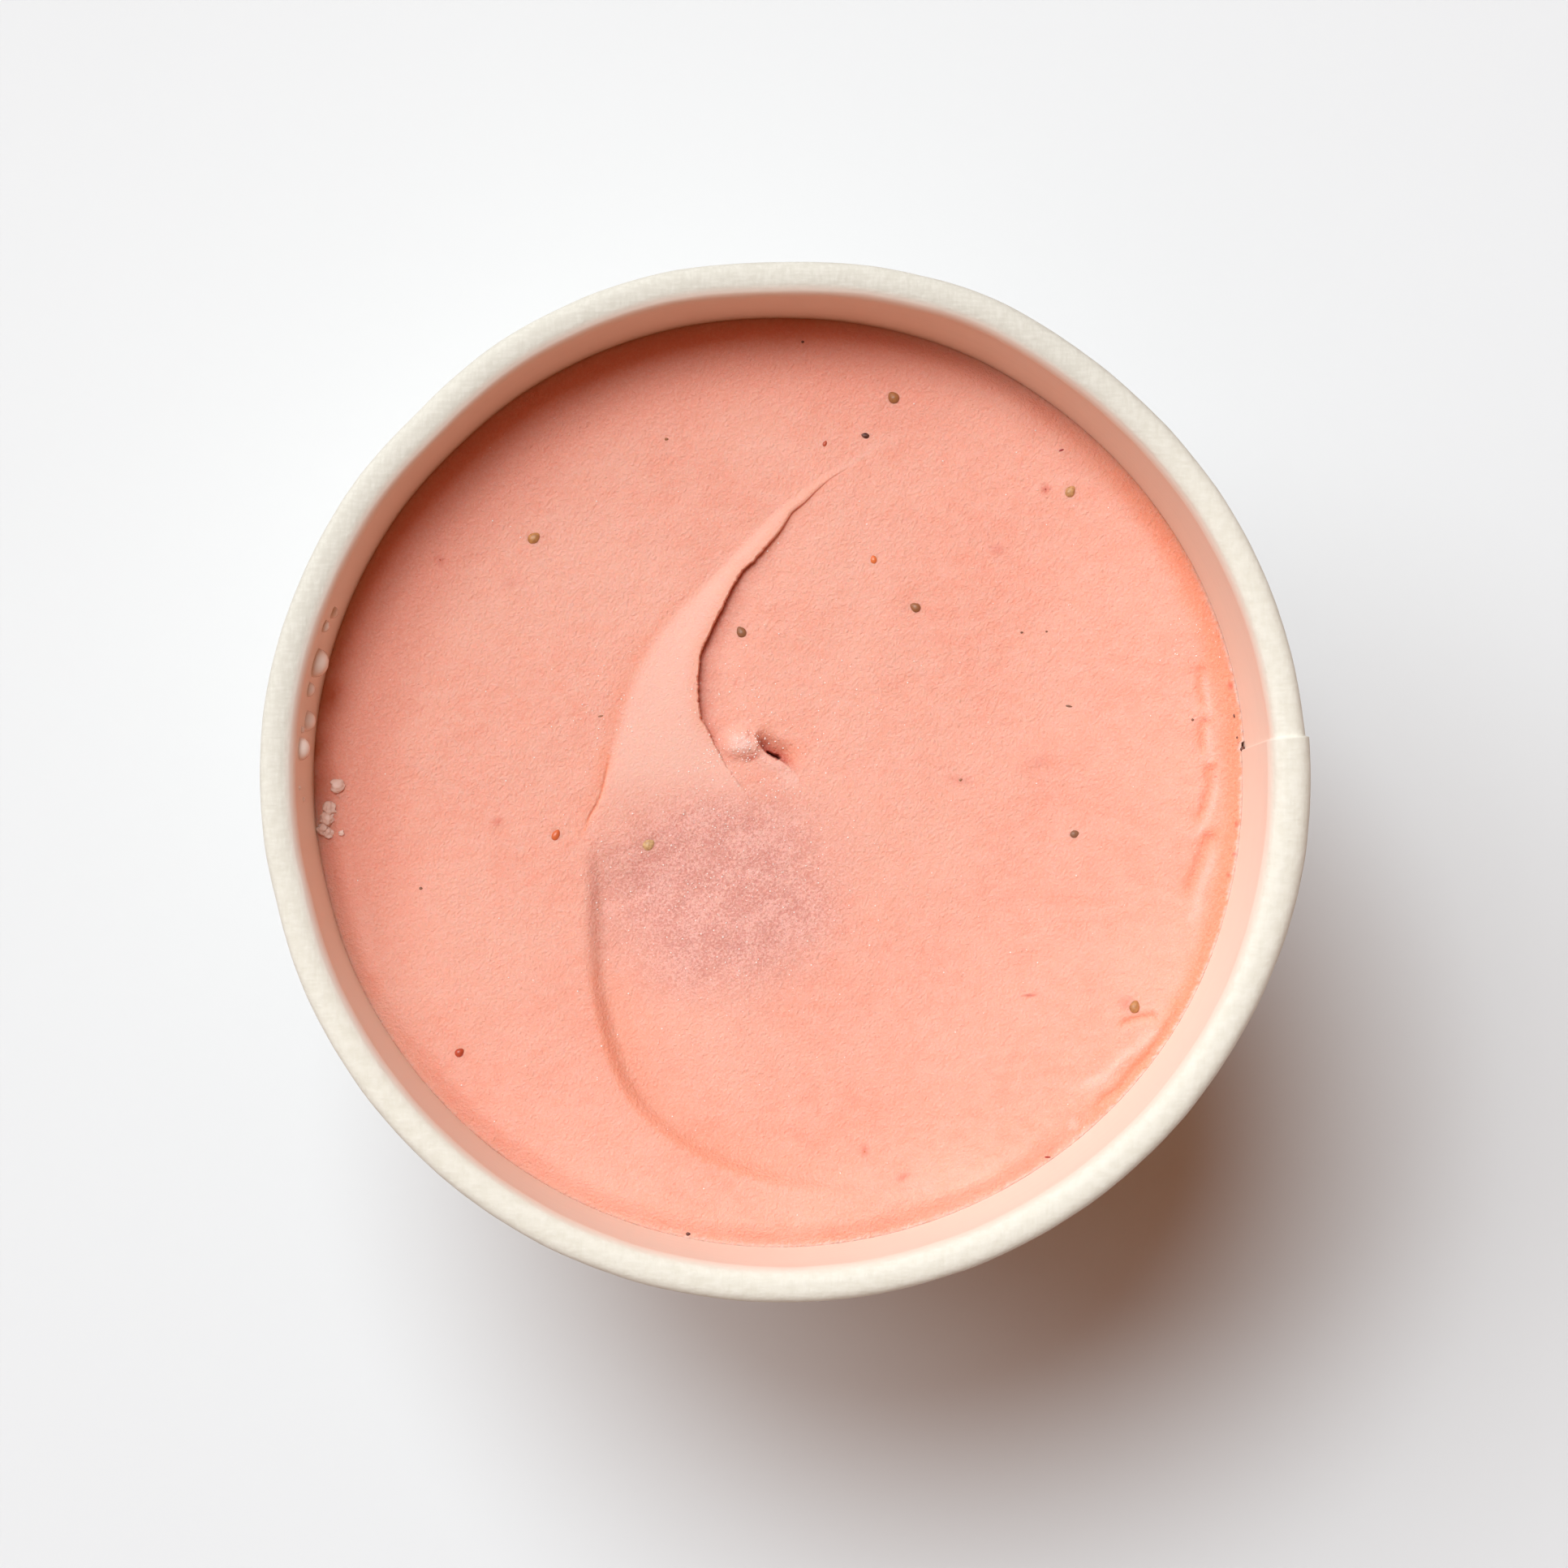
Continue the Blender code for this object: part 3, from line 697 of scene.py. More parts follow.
def curl_height(plan):
    """The nub that the ribbon ends in, the fold beside it, and the slit in the fold."""
    crumbs = 0.22 * lumps(plan, 0.55, 5.0) + 0.12 * lumps(plan, 0.25, 2.0)
    ragged = distance_from_nub(plan) + crumbs * ease(-5.0, -2.8, plan[:, 0])
    nub = NUB_HEIGHT * (1 - ease(0.30, 1.95, ragged))
    offset, share = beside(fold_line, plan)
    deep = between((0.10, 0.40), (0.60, 1.0), share)
    # The fold is a long slope on one side of its line and a short wall on the other
    fold = np.where(offset > 0, 1 - ease(0.0, 2.1, offset), 1 - ease(0.0, 0.22, -offset))
    tongue = 0.22 * bell(offset + 0.75, 0.6) * (offset < 0)
    offset, share = beside(slit_line, plan)
    ragged = offset + 0.05 * lumps(plan, 0.16, 4.0)
    slit = bell(ragged, 0.06 + 0.10 * share) * between((0.0, 0.15), (0.97, 1.0), share)
    return nub + tongue * deep - FOLD_DEPTH * deep * fold - SLIT_DEPTH * slit


# %% Frost and grain
FROST_MIDDLE = (-6.3, -10.0)
FROST_REACH = (13.5, 12.0)
# Turns the plan by 50 degrees and squeezes it, so that the grains are twice as long as wide
GRAIN_SLANT = np.array([[0.354, -0.843], [0.421, 0.707]])
GRAIN_HEIGHT = 0.035
RIPPLE_HEIGHT = 0.06
BACK_LEFT = (-0.6, 0.75)
ACROSS_RIPPLES = (-0.5, 0.87)


def frost_share(plan):
    """Where frost covers the surface: the hollow in front of the ribbon's end."""
    spread = np.hypot(*((plan - FROST_MIDDLE) / FROST_REACH).T)
    in_patch = 1 - ease(0.45, 1.2, spread + 0.16 * lumps(plan, 6.0, 2.0))
    step_offset, _ = beside(step_line, plan)
    torn_offset, _ = beside(torn_line, plan)
    below_ribbon = 1 - ease(-4.2, 3.0, plan[:, 1] - 0.2 * np.maximum(0, torn_offset + 1))
    return in_patch * ease(-0.6, 0.8, step_offset) * below_ribbon


def grain_height(plan):
    """The frozen surface's grain, with ripples under the frost. The ribbon's back is smooth."""
    wrinkled = 0.25 + 0.75 * ease(-8, 18, plan @ BACK_LEFT)
    grain = GRAIN_HEIGHT * wrinkled * lumps(plan @ GRAIN_SLANT, 1.0, 3.0)
    grain += 0.02 * lumps(plan, 0.8, 7.0)
    torn_offset, _ = beside(torn_line, plan)
    start_offset, _ = beside(start_line, plan)
    on_back = ease(-0.6, 1.0, start_offset) * (torn_offset < 0) * ease(-3.0, 1.0, plan[:, 1])
    ripple = np.sin((plan @ ACROSS_RIPPLES) * 3.6 + 2.6 * lumps(plan, 5.0, 1.0))
    ripple *= ease(-0.3, 0.6, lumps(plan, 4.0, 6.0))
    return grain * (1 - 0.85 * on_back) + RIPPLE_HEIGHT * frost_share(plan) * ripple


# %% The whole surface
def surface_height(plan):
    """Height in millimetres at rows of places on the plan."""
    plan = np.asarray(plan, dtype=float)
    height = ICE_LEVEL - ICE_LEAN * plan[:, 0] / (RIM_RADIUS / MM)
    for wave_height, size, shift in WAVES:
        height += wave_height * lumps(plan, size, shift)
    height += ribbon_height(plan) + front_step_height(plan) + groove_height(plan) + curl_height(plan)
    reach = np.hypot(*plan.T)
    creep = WALL_CREEP * (1 - 0.9 * ease(0.5, 0.85, plan[:, 0] / np.maximum(reach, 1)))
    return height - creep * (1 - ease(0.0, CREEP_WIDTH, wall_at_ice - reach)) + grain_height(plan)


print("surface at the axis", round(float(surface_height([(0, 0)])[0]), 2), "mm high")

# %% The grid, bent into a disc
GRID = 230
SINK = 0.02  # how far the ice cream's edge reaches into the board, so that no gap shows

bm = bmesh.new()
bmesh.ops.create_grid(bm, x_segments=GRID, y_segments=GRID, size=1)
for vertex in bm.verts:
    u, v = vertex.co.xy
    reach = max(abs(u), abs(v))
    if reach > 0:
        angle = math.pi / 4 * (v / u if abs(u) >= abs(v) else 2 - u / v)
        sign = math.copysign(1, u if abs(u) >= abs(v) else v)
        vertex.co = Vector((math.cos(angle), math.sin(angle), 0)) * reach * sign * wall_at_ice
print("grid cell about", round(2 * wall_at_ice / GRID, 2), "mm")


# %% Finer cells where the surface turns sharply
def refine(bm, near):
    """Splits the edges whose middles this test picks."""
    middles = np.array([((e.verts[0].co + e.verts[1].co) / 2).xy for e in bm.edges])
    picked = [edge for edge, chosen in zip(bm.edges, near(middles)) if chosen]
    bmesh.ops.subdivide_edges(bm, edges=picked, cuts=1, use_grid_fill=True)
    print(len(picked), "edges split")


def near_line(line, plan, reach):
    """Whether each place lies within reach of the line."""
    return np.abs(beside(line, plan)[0]) < reach


def near_curl(plan, reach):
    near = np.hypot(*(plan - NUB).T) < 1.6 + reach
    for line in (torn_line, fold_line):
        near |= near_line(line, plan, reach)
    return near


def near_marks(plan, reach):
    near = np.zeros(len(plan), bool)
    for line in (crease_line, drag_line, *groove_lines):
        near |= near_line(line, plan, reach)
    return near


def near_wall(plan, reach):
    return np.hypot(*plan.T) > wall_at_ice - reach


refine(bm, lambda plan: near_curl(plan, 2.2) | near_marks(plan, 1.2) | near_wall(plan, 1.1))
refine(bm, lambda plan: near_curl(plan, 0.9) | near_line(crease_line, plan, 0.4))
refine(bm, lambda plan: near_line(torn_line, plan, 0.28) | near_line(slit_line, plan, 0.5))

# %% The body under the surface
is_low_layer = bm.verts.layers.float.new("is_low")
outline = [edge for edge in bm.edges if edge.is_boundary]
skirt = bmesh.ops.extrude_edge_only(bm, edges=outline)["geom"]
base = BOTTOM_TOP + FIT_GAP
base_radius = (inner_radius(base) - FIT_GAP - BOTTOM_CORNER) / MM
for vertex in (item for item in skirt if isinstance(item, bmesh.types.BMVert)):
    vertex.co *= base_radius / vertex.co.length
    vertex[is_low_layer] = 1
bmesh.ops.contextual_create(bm, geom=[edge for edge in bm.edges if edge.is_boundary])
bmesh.ops.recalc_face_normals(bm, faces=bm.faces)
bmesh.ops.triangulate(bm, faces=[face for face in bm.faces if len(face.verts) > 4])
ice_mesh = mesh_from(bm, "ice_cream_surface")


def wall_reach(azimuth, height):
    """Radius of the tub's inner face in millimetres, with its seam and its dents."""
    board = inner_radius(height * MM) - lap(azimuth, height * MM, np.ones(len(azimuth)))
    return (board + rim_push(azimuth, height * MM)) / MM


plan = places_of(ice_mesh)[:, :2]
is_low = value_of(ice_mesh, "is_low") > 0.5
top = surface_height(plan)
radius = np.hypot(*plan.T)
reach = wall_reach(np.arctan2(plan[:, 1], plan[:, 0]), top) + SINK
spread = np.where(is_low, 1, 1 + (reach / wall_at_ice - 1) * ease(wall_at_ice - 3, wall_at_ice, radius))
move_to(ice_mesh, np.column_stack([plan * spread[:, None], np.where(is_low, base / MM, top)]) * MM)
lowest, highest = float(top[~is_low].min()), float(top[~is_low].max())
print("surface from", round(lowest, 2), "to", round(highest, 2), "mm high")

# %% [markdown]
# ## Colours of the ice cream
# Strawberry ice cream is a pale, warm pink that light enters and scatters in, so the shader has
# subsurface scattering. Masks stored on the mesh say where the ribbon is smooth and pale, where frost
# has greyed the surface and where fruit has stained it. Other masks hold painted shade: orange along
# edges, creases, grooves and the right wall, deep red in hollows, and a duller pink where the far
# wall's shadow falls. A few stains are painted shadows, and some pale marks are painted highlights.

# %% Stains
# Soft red stains of fruit under the surface, and two painted shadows, under the nub and under a seed:
# place, length, width, turn in degrees, strength
STAINS_AND_SHADOWS = [
    ((-32.8, 21.2), 1.0, 0.6, 110, 0.5),
    ((-27.3, -3.8), 0.8, 0.5, 20, 0.5),
    ((20.7, 22.4), 1.2, 0.8, 0, 0.35),
    ((23.9, -20.5), 1.0, 0.22, 5, 0.9),
    ((24.6, 1.9), 1.8, 0.9, 20, 0.25),
    ((8.0, -35.5), 0.5, 0.9, 0, 0.5),
    ((11.6, -38.0), 1.0, 0.4, 10, 0.5),
    ((25.4, 28.2), 0.7, 0.6, 0, 0.7),
    ((17.2, 0.2), 2.2, 0.6, -10, 0.3),
    ((-26.0, 19.0), 1.5, 1.0, 30, 0.2),
    # A painted shadow under the seed in the frost
    ((-12.5, -7.35), 0.9, 0.6, 20, 0.18),
    ((43.3, 9.3), 0.4, 0.6, 0, 0.7),
    ((44.2, -4.1), 0.3, 0.5, 0, 0.8),
    ((43.95, -7.0), 0.35, 0.3, 0, 0.8),
    ((43.3, -9.0), 0.3, 0.35, 0, 0.7),
    # A painted shadow under the nub
    ((-3.0, 2.3), 1.2, 0.5, 15, 0.55),
    ((33.2, -21.3), 1.1, 1.2, 0, 0.35),
    ((-4.4, 9.5), 0.6, 0.3, -20, 0.4),
]

stain_and_shadow = np.zeros(len(plan))
for centre, length, width, degrees, strength in STAINS_AND_SHADOWS:
    heading = np.array([math.cos(math.radians(degrees)), math.sin(math.radians(degrees))])
    offset = plan - centre
    along, across = offset @ heading, offset @ (-heading[1], heading[0])
    stain_and_shadow += strength * bell(np.hypot(along / length, across / width) * 2, 1.2)
keep_value(ice_mesh, "stain_and_shadow", np.clip(stain_and_shadow, 0, 1))
print("stains:", len(STAINS_AND_SHADOWS))

# %% Where the ribbon is pale
torn_offset, torn_share = beside(torn_line, plan)
start_offset, _ = beside(start_line, plan)
on_ribbon = ease(-0.4, 1.2, start_offset) * ease(-0.3, 0.3, -torn_offset)
on_ribbon *= between((-5.0, 2.0), (30.0, 34.0), plan[:, 1])
keep_value(ice_mesh, "ribbon", on_ribbon)
print("share of the vertices on the ribbon:", round(float(on_ribbon.mean()), 2))

# %% Where lines have a painted orange shade
# Each line has a warm border of painted shade, which stands for the shade in creases, folds, grooves
# and the bowl's step, and for the redder light that comes out of thin edges and hollows.
beside_ribbon = bell(start_offset + 0.3, 0.8) * between((-2.0, 3.0), (12.0, 22.0), plan[:, 1])
crease_offset, _ = beside(crease_line, plan)
crease_tint = 0.9 * bell(crease_offset, 0.12) + 0.3 * bell(crease_offset + 0.5, 0.7)
fold_offset, fold_share = beside(fold_line, plan)
fold_tint = np.where(fold_offset > 0, bell(fold_offset, 1.5), bell(fold_offset, 0.15))
fold_tint *= between((0.05, 0.3), (0.8, 1.0), fold_share)
groove_tint = np.zeros(len(plan))
for line, (_, half_width, _) in zip(groove_lines, GROOVES):
    offset, share = beside(line, plan)
    groove_tint = np.maximum(groove_tint, bell(offset, half_width) * (1 - ease(0.75, 1.0, share)))
edge_tint = bell(torn_offset, np.where(torn_offset < 0, 0.9, 0.35))
edge_tint *= between((0.0, 0.15), (0.8, 1.0), torn_share)
step_offset, step_share = beside(step_line, plan)
step_tint = 0.25 * bell(step_offset - 0.5, 0.8) + 0.50 * bell(step_offset, 4.0) * (step_offset > 0)
step_tint *= between((0.1, 0.3), (0.5, 0.8), step_share)
# Painted shade and glow along the ribbon's side, the bowl's step, the crease, the fold, the grooves and
# the torn edge
orange_shade = 0.35 * beside_ribbon + step_tint + crease_tint
orange_shade += 0.9 * fold_tint + 0.75 * groove_tint + 0.45 * edge_tint
keep_value(ice_mesh, "orange_shade", np.clip(orange_shade, 0, 1))
print("strongest orange before it is clipped:", round(float(orange_shade.max()), 2))

# %% Where hollows are painted with a deep red shade
slit_offset, _ = beside(slit_line, plan)
# Painted shade: deep red in the fold's hollow by the slit and at the torn edge's foot
deep = bell(np.maximum(0, fold_offset - 0.1), 0.75) * bell(slit_offset, 1.3) * (fold_offset > -0.2)
valley_size = between((0.12, 0.55), (0.80, 1.0), torn_share)
foot_shade = 0.30 * bell(torn_offset, 1.5) + 0.25 * bell(torn_offset, 0.5)
deep += foot_shade * (torn_offset > 0) * valley_size
keep_value(ice_mesh, "deep", np.clip(deep, 0, 1))
print("strongest deep red before it is clipped:", round(float(deep.max()), 2))

# %% Frost, and the rings along the wall
# The moat is an orange ring of painted shade at the right, where the surface dips against the wall. At
# the back, a ring beside the wall is painted a duller pink as the far wall's shadow.
keep_value(ice_mesh, "frost", frost_share(plan))
azimuth = np.degrees(np.arctan2(plan[:, 1], plan[:, 0]))
from_wall = wall_at_ice - radius
moat_width = 2.0 + 1.4 * ease(-40, -5, azimuth)
moat = 1 - ease(0.3, 1.0, (from_wall + 0.5 * lumps(plan, 2.5, 4.0)) / moat_width)
to_right = between((-52, -38), (30, 60), azimuth)
# Painted shade: the orange moat ring by the right wall
keep_value(ice_mesh, "moat", moat * (0.15 + 0.85 * to_right))
around_back = between((50, 80), (185, 210), azimuth % 360)
# Painted shadow: the duller pink ring by the back wall
keep_value(ice_mesh, "back", around_back * between((0.0, 1.5), (5.0, 11.5), from_wall))
print("the moat is up to", round(float(moat_width.max()), 1), "mm wide")

# %% Where rubbed ice cream is pale, and where a highlight is painted
# The fringe is a ragged pale border at the lower right, the blob lies beside it, and the rest are the
# nub, the drag mark and a painted highlight on the lit bank beside each of the first grooves.
BLOB = (28.1, -33.0)
ragged = from_wall + 0.30 * lumps(plan, 0.6, 5.0) + 0.15 * lumps(plan, 0.3, 1.0)
fringe = (1 - ease(0.10, 0.42, ragged)) * (1 - ease(52, 78, np.abs(azimuth + 42)))
from_nub = distance_from_nub(plan) + 0.2 * lumps(plan, 0.5, 5.0)
drag_offset, drag_share = beside(drag_line, plan)
drag = bell(drag_offset + 0.3 * lumps(plan, 1.0, 2.0), 0.5) * ease(0.0, 0.3, drag_share)
tongue = bell(fold_offset + 0.8, 0.8) * (fold_offset < 0) * ease(0.2, 0.5, fold_share)
from_blob = np.hypot(*(plan - BLOB).T) + 0.15 * lumps(plan, 0.6, 3.0)
blob = 1 - ease(0.25, 0.8, from_blob)
pale = fringe + (1 - ease(0.4, 1.4, from_nub)) + 0.7 * drag + 0.6 * tongue + 0.8 * blob
# Painted highlight on the lit bank beside each of the first grooves
for line, half_width, _ in GROOVES[:DRAGGED_BY_WALL]:
    offset, share = beside(smooth_line(line, 6), plan)
    pale += 0.5 * bell(offset - half_width * 1.3, half_width * 0.6) * ease(0.1, 0.4, share)
keep_value(ice_mesh, "pale", np.clip(pale, 0, 1))
print("values and layers on the surface:", sorted(layer.name for layer in ice_mesh.attributes))

# %% The ice cream's colours
PINK = (0.895, 0.42, 0.31)
DEEP_PINK = (0.88, 0.37, 0.265)
PALE_PINK = (0.905, 0.465, 0.36)
RIBBON_PINK = (0.92, 0.505, 0.40)
FROST_SHADE = (0.70, 0.295, 0.235)
FROST_PINK = (0.865, 0.45, 0.375)
SHADE_ORANGE = (0.90, 0.32, 0.19)
WALL_SHADOW_PINK = (0.84, 0.335, 0.24)
FRUIT_RED = (0.66, 0.11, 0.07)
SHADE_DEEP_RED = (0.50, 0.075, 0.04)
FROST_AND_HIGHLIGHT_PALE = (0.92, 0.55, 0.46)
SPARKLE_PINK = (0.95, 0.60, 0.51)

ice_cream, tree, shader = new_material("ice_cream", 0.5)
flat_place = place_of(tree)
wide = ramp(tree, speckle(tree, flat_place, 12 * MM, 3), 0.35, 0.65)
fine = ramp(tree, speckle(tree, place_of(tree, (0.7, 1, 1)), 1.3 * MM, 4), 0.3, 0.7)
colour = mix(tree, wide, PINK, DEEP_PINK)
colour = mix(tree, times(tree, fine, 0.55), colour, PALE_PINK)
# Painted shadow of the far wall
colour = mix(tree, attribute(tree, "back"), colour, WALL_SHADOW_PINK)
# Painted shade: the orange moat by the right wall
colour = mix(tree, attribute(tree, "moat"), colour, SHADE_ORANGE)
colour = mix(tree, attribute(tree, "ribbon"), colour, RIBBON_PINK)
# Painted shade: orange borders along edges, creases, folds and grooves
colour = mix(tree, attribute(tree, "orange_shade"), colour, SHADE_ORANGE)
# Painted shade in hollows
colour = mix(tree, attribute(tree, "deep"), colour, SHADE_DEEP_RED)

# %% Frost, sparkle, stains, painted shadows and a painted highlight in the colour
crystals = speckle(tree, flat_place, 0.24 * MM, 3, 0.8)
clouds = ramp(tree, speckle(tree, flat_place, 2.4 * MM, 2), 0.35, 0.65, -0.05, 0.05)
frosted = add(tree, "ShaderNodeMath", {0: crystals, 1: clouds}, operation="ADD").outputs[0]
frosty = mix(tree, ramp(tree, frosted, 0.38, 0.64), FROST_SHADE, FROST_PINK)
colour = mix(tree, attribute(tree, "frost"), colour, frosty)
colour = mix(tree, ramp(tree, crystals, 0.42, 0.66, 0.0, 0.22), colour, SPARKLE_PINK)
# Frost dust, and the painted highlight beside the grooves
dust_and_highlight = times(tree, attribute(tree, "pale"), ramp(tree, crystals, 0.30, 0.55, 0.45, 1.0))
colour = mix(tree, dust_and_highlight, colour, FROST_AND_HIGHLIGHT_PALE)
# Fruit stains, and painted shadows under the nub and a seed
colour = mix(tree, attribute(tree, "stain_and_shadow"), colour, FRUIT_RED)
tree.links.new(colour, shader.inputs["Base Color"])

# %% Gloss, depth and fine relief
# The finest relief is orange peel, strongest at the back, with crystals on top of it.
PEEL_STRETCH, PEEL_TURN = (0.8, 1, 1), 50
tree.links.new(ramp(tree, crystals, 0.3, 0.7, 0.45, 0.62), shader.inputs["Roughness"])
shader.inputs["Specular IOR Level"].default_value = 0.3
shader.inputs["Subsurface Weight"].default_value = 0.45
shader.inputs["Subsurface Radius"].default_value = (1.0, 0.38, 0.24)
shader.inputs["Subsurface Scale"].default_value = 0.9 * MM
smooth_back = ramp(tree, attribute(tree, "ribbon"), 0.0, 1.0, 1.0, 0.3)
to_back = add(tree, "ShaderNodeSeparateXYZ", {"Vector": flat_place}).outputs["Y"]
peel_place = place_of(tree, PEEL_STRETCH, PEEL_TURN)
cells = times(tree, speckle(tree, peel_place, 0.55 * MM, 1, 0.5), smooth_back)
cells = times(tree, cells, ramp(tree, to_back, -20 * MM, 30 * MM, 0.35, 1.0))
coarse_peel = bump(tree, cells, 0.08 * MM)
fine_peel = times(tree, speckle(tree, peel_place, 0.33 * MM, 2, 0.5), smooth_back)
peel = bump(tree, fine_peel, 0.13 * MM, below=coarse_peel)
tree.links.new(bump(tree, crystals, 0.15 * MM, below=peel), shader.inputs["Normal"])
new_piece("ice_cream_surface", ice_mesh, ice_cream, "ice_cream", "ice_cream")
print("the ice cream's material has", len(tree.nodes), "nodes")

# %% [markdown]
# ## Seeds and fruit
# Strawberry seeds are flattened drops a little over a millimetre long, from straw yellow to dark
# brown. Each lies half sunk, at its own turn. A round mesh is squeezed for each one, and a stored
# tone picks its colour. Bits of fruit are softer lumps in reds and oranges.

# %% A helper that lays small lumps on the surface
def lay_lump(bm, tone_layer, place, size, turn, tone, rise=0.0, detail=3):
    """A squeezed ball on the ice cream. Place, size and rise are in millimetres."""
    height = surface_height([place])[0] + rise
    spot = Matrix.Translation(Vector((*place, height)) * MM)
    shape = Matrix.Diagonal((*(Vector(size) * MM / 2), 1))
    tilt = turn * 7 % 11 - 5  # up to five degrees either way, another one for each lump
    turned = Matrix.Rotation(math.radians(turn), 4, "Z") @ Matrix.Rotation(math.radians(tilt), 4, "Y")
    ball = bmesh.ops.create_icosphere(bm, subdivisions=detail, radius=1)["verts"]
    for vertex in ball:
        along = vertex.co.x
        vertex.co.yz *= 1 - 0.22 * along - 0.10 * along * along
        vertex.co *= 1 + 0.07 * noise.noise(vertex.co * 1.7 + Vector((*place, 0)))
        vertex[tone_layer] = tone
    bmesh.ops.transform(bm, matrix=spot @ turned @ shape, verts=ball)


# %% Seeds
# Place, length and width in millimetres, turn in degrees, and tone from 0, straw, to 1, dark
SEEDS = [
    ((-23.8, 23.4), 1.35, 1.05, 35, 0.30),
    ((10.7, 37.0), 1.30, 1.10, 130, 0.48),
    ((8.0, 33.3), 0.85, 0.55, 165, 1.0),
    ((27.8, 28.0), 1.25, 0.95, 60, 0.20),
    ((-3.9, 14.4), 1.20, 0.95, 120, 0.62),
    ((12.8, 16.8), 1.15, 0.90, 150, 0.55),
    ((28.2, -5.0), 0.95, 0.75, 20, 0.70),
    ((-12.8, -6.0), 1.35, 1.10, 40, 0.05),
    ((34.0, -21.6), 1.40, 1.00, 80, 0.36),
    ((-17.4, 6.3), 0.55, 0.16, 12, 0.5),
    ((27.7, 7.3), 0.75, 0.22, -10, 0.75),
    ((-11.1, 32.9), 0.40, 0.30, 0, 0.5),
    ((2.0, 42.3), 0.30, 0.26, 0, 0.9),
    ((-9.0, -43.4), 0.45, 0.35, 0, 1.0),
    ((43.6, 6.4), 0.45, 0.18, 100, 0.9),
    ((39.6, 6.0), 0.30, 0.26, 0, 0.8),
    ((23.1, 14.4), 0.30, 0.22, 0, 0.8),
    ((25.5, 14.5), 0.25, 0.20, 0, 0.7),
    ((17.2, 0.2), 0.35, 0.25, 30, 0.6),
    ((-34.6, -10.2), 0.35, 0.30, 0, 0.7),
    ((44.45, 3.2), 0.52, 0.46, 60, 1.0),
    ((43.9, 4.3), 0.26, 0.20, 90, 0.9),
]
bm = bmesh.new()
tone_layer = bm.verts.layers.float.new("tone")
for place, length, width, turn, tone in SEEDS:
    lay_lump(bm, tone_layer, place, (length, width, width * 0.75), turn, tone, rise=-0.10 * width)

seed_skin, tree, shader = new_material("seed", 0.45)
tones = add(tree, "ShaderNodeValToRGB", {"Fac": attribute(tree, "tone")})
SEED_TONES = [
    (0.0, (0.66, 0.42, 0.20)),
    (0.3, (0.52, 0.235, 0.075)),
    (0.5, (0.34, 0.125, 0.04)),
    (0.7, (0.24, 0.105, 0.055)),
    (1.0, (0.06, 0.012, 0.012)),
]
for position, tint in SEED_TONES[1:-1]:
    tones.color_ramp.elements.new(position)
for element, (position, tint) in zip(tones.color_ramp.elements, SEED_TONES):
    element.position = position
    element.color = (*tint, 1)
PIT_BROWN = (0.25, 0.09, 0.04)
pits = speckle(tree, place_of(tree), 0.25 * MM, 2)
skin = mix(tree, ramp(tree, pits, 0.35, 0.7, 0.0, 0.45), tones.outputs[0], PIT_BROWN)
tree.links.new(skin, shader.inputs["Base Color"])
tree.links.new(bump(tree, pits, 0.05 * MM), shader.inputs["Normal"])
new_piece("seeds", mesh_from(bm, "seeds"), seed_skin, "ice_cream")

# %% Fruit
FRUIT_SINK = 0.12  # most of a bit lies under the surface
FRUIT_ORANGE, FRUIT_DARK = (0.80, 0.20, 0.055), (0.34, 0.025, 0.018)
# Place, length and width in millimetres, turn in degrees, and tone from 0, orange, to 1, dark red
FRUIT = [
    ((8.8, 21.4), 0.95, 0.70, 100, 0.15),
    ((-21.7, -5.1), 1.20, 0.80, 60, 0.35),
    ((-30.9, -25.9), 1.05, 0.85, 40, 0.75),
    ((4.1, 32.5), 0.75, 0.50, 60, 0.7),
    ((27.0, 32.0), 1.05, 0.35, 20, 1.0),
    ((25.5, -36.1), 0.95, 0.25, -8, 1.0),
    ((23.2, -20.5), 0.50, 0.22, 10, 0.8),
    ((8.0, -35.5), 0.55, 0.30, 80, 0.2),
    ((11.6, -38.0), 0.45, 0.25, 0, 0.6),
    ((-32.8, 21.3), 0.50, 0.35, 110, 0.6),
    ((-26.6, -3.8), 0.40, 0.25, 20, 0.2),
    ((25.4, 28.2), 0.40, 0.35, 0, 0.8),
    ((-7.2, 9.5), 0.35, 0.20, -20, 0.5),
]
bm = bmesh.new()
tone_layer = bm.verts.layers.float.new("tone")
for place, length, width, turn, tone in FRUIT:
    lay_lump(bm, tone_layer, place, (length, width, width * 0.8), turn, tone, rise=-FRUIT_SINK)

fruit_flesh, tree, shader = new_material("fruit", 0.35)
flesh = mix(tree, attribute(tree, "tone"), FRUIT_ORANGE, FRUIT_DARK)
tree.links.new(flesh, shader.inputs["Base Color"])
shader.inputs["Subsurface Weight"].default_value = 0.3
shader.inputs["Subsurface Radius"].default_value = (1.0, 0.25, 0.15)
shader.inputs["Subsurface Scale"].default_value = 0.4 * MM
new_piece("fruit_bits", mesh_from(bm, "fruit_bits"), fruit_flesh, "ice_cream")

# %% [markdown]
# ## Ice
# Grains of ice a tenth of a millimetre wide glitter in patches, mostly in the frost and beside
# the ribbon. They are scattered around chosen spots with a seeded generator. At the left edge lie
# a few larger crystals, broken and half clear.

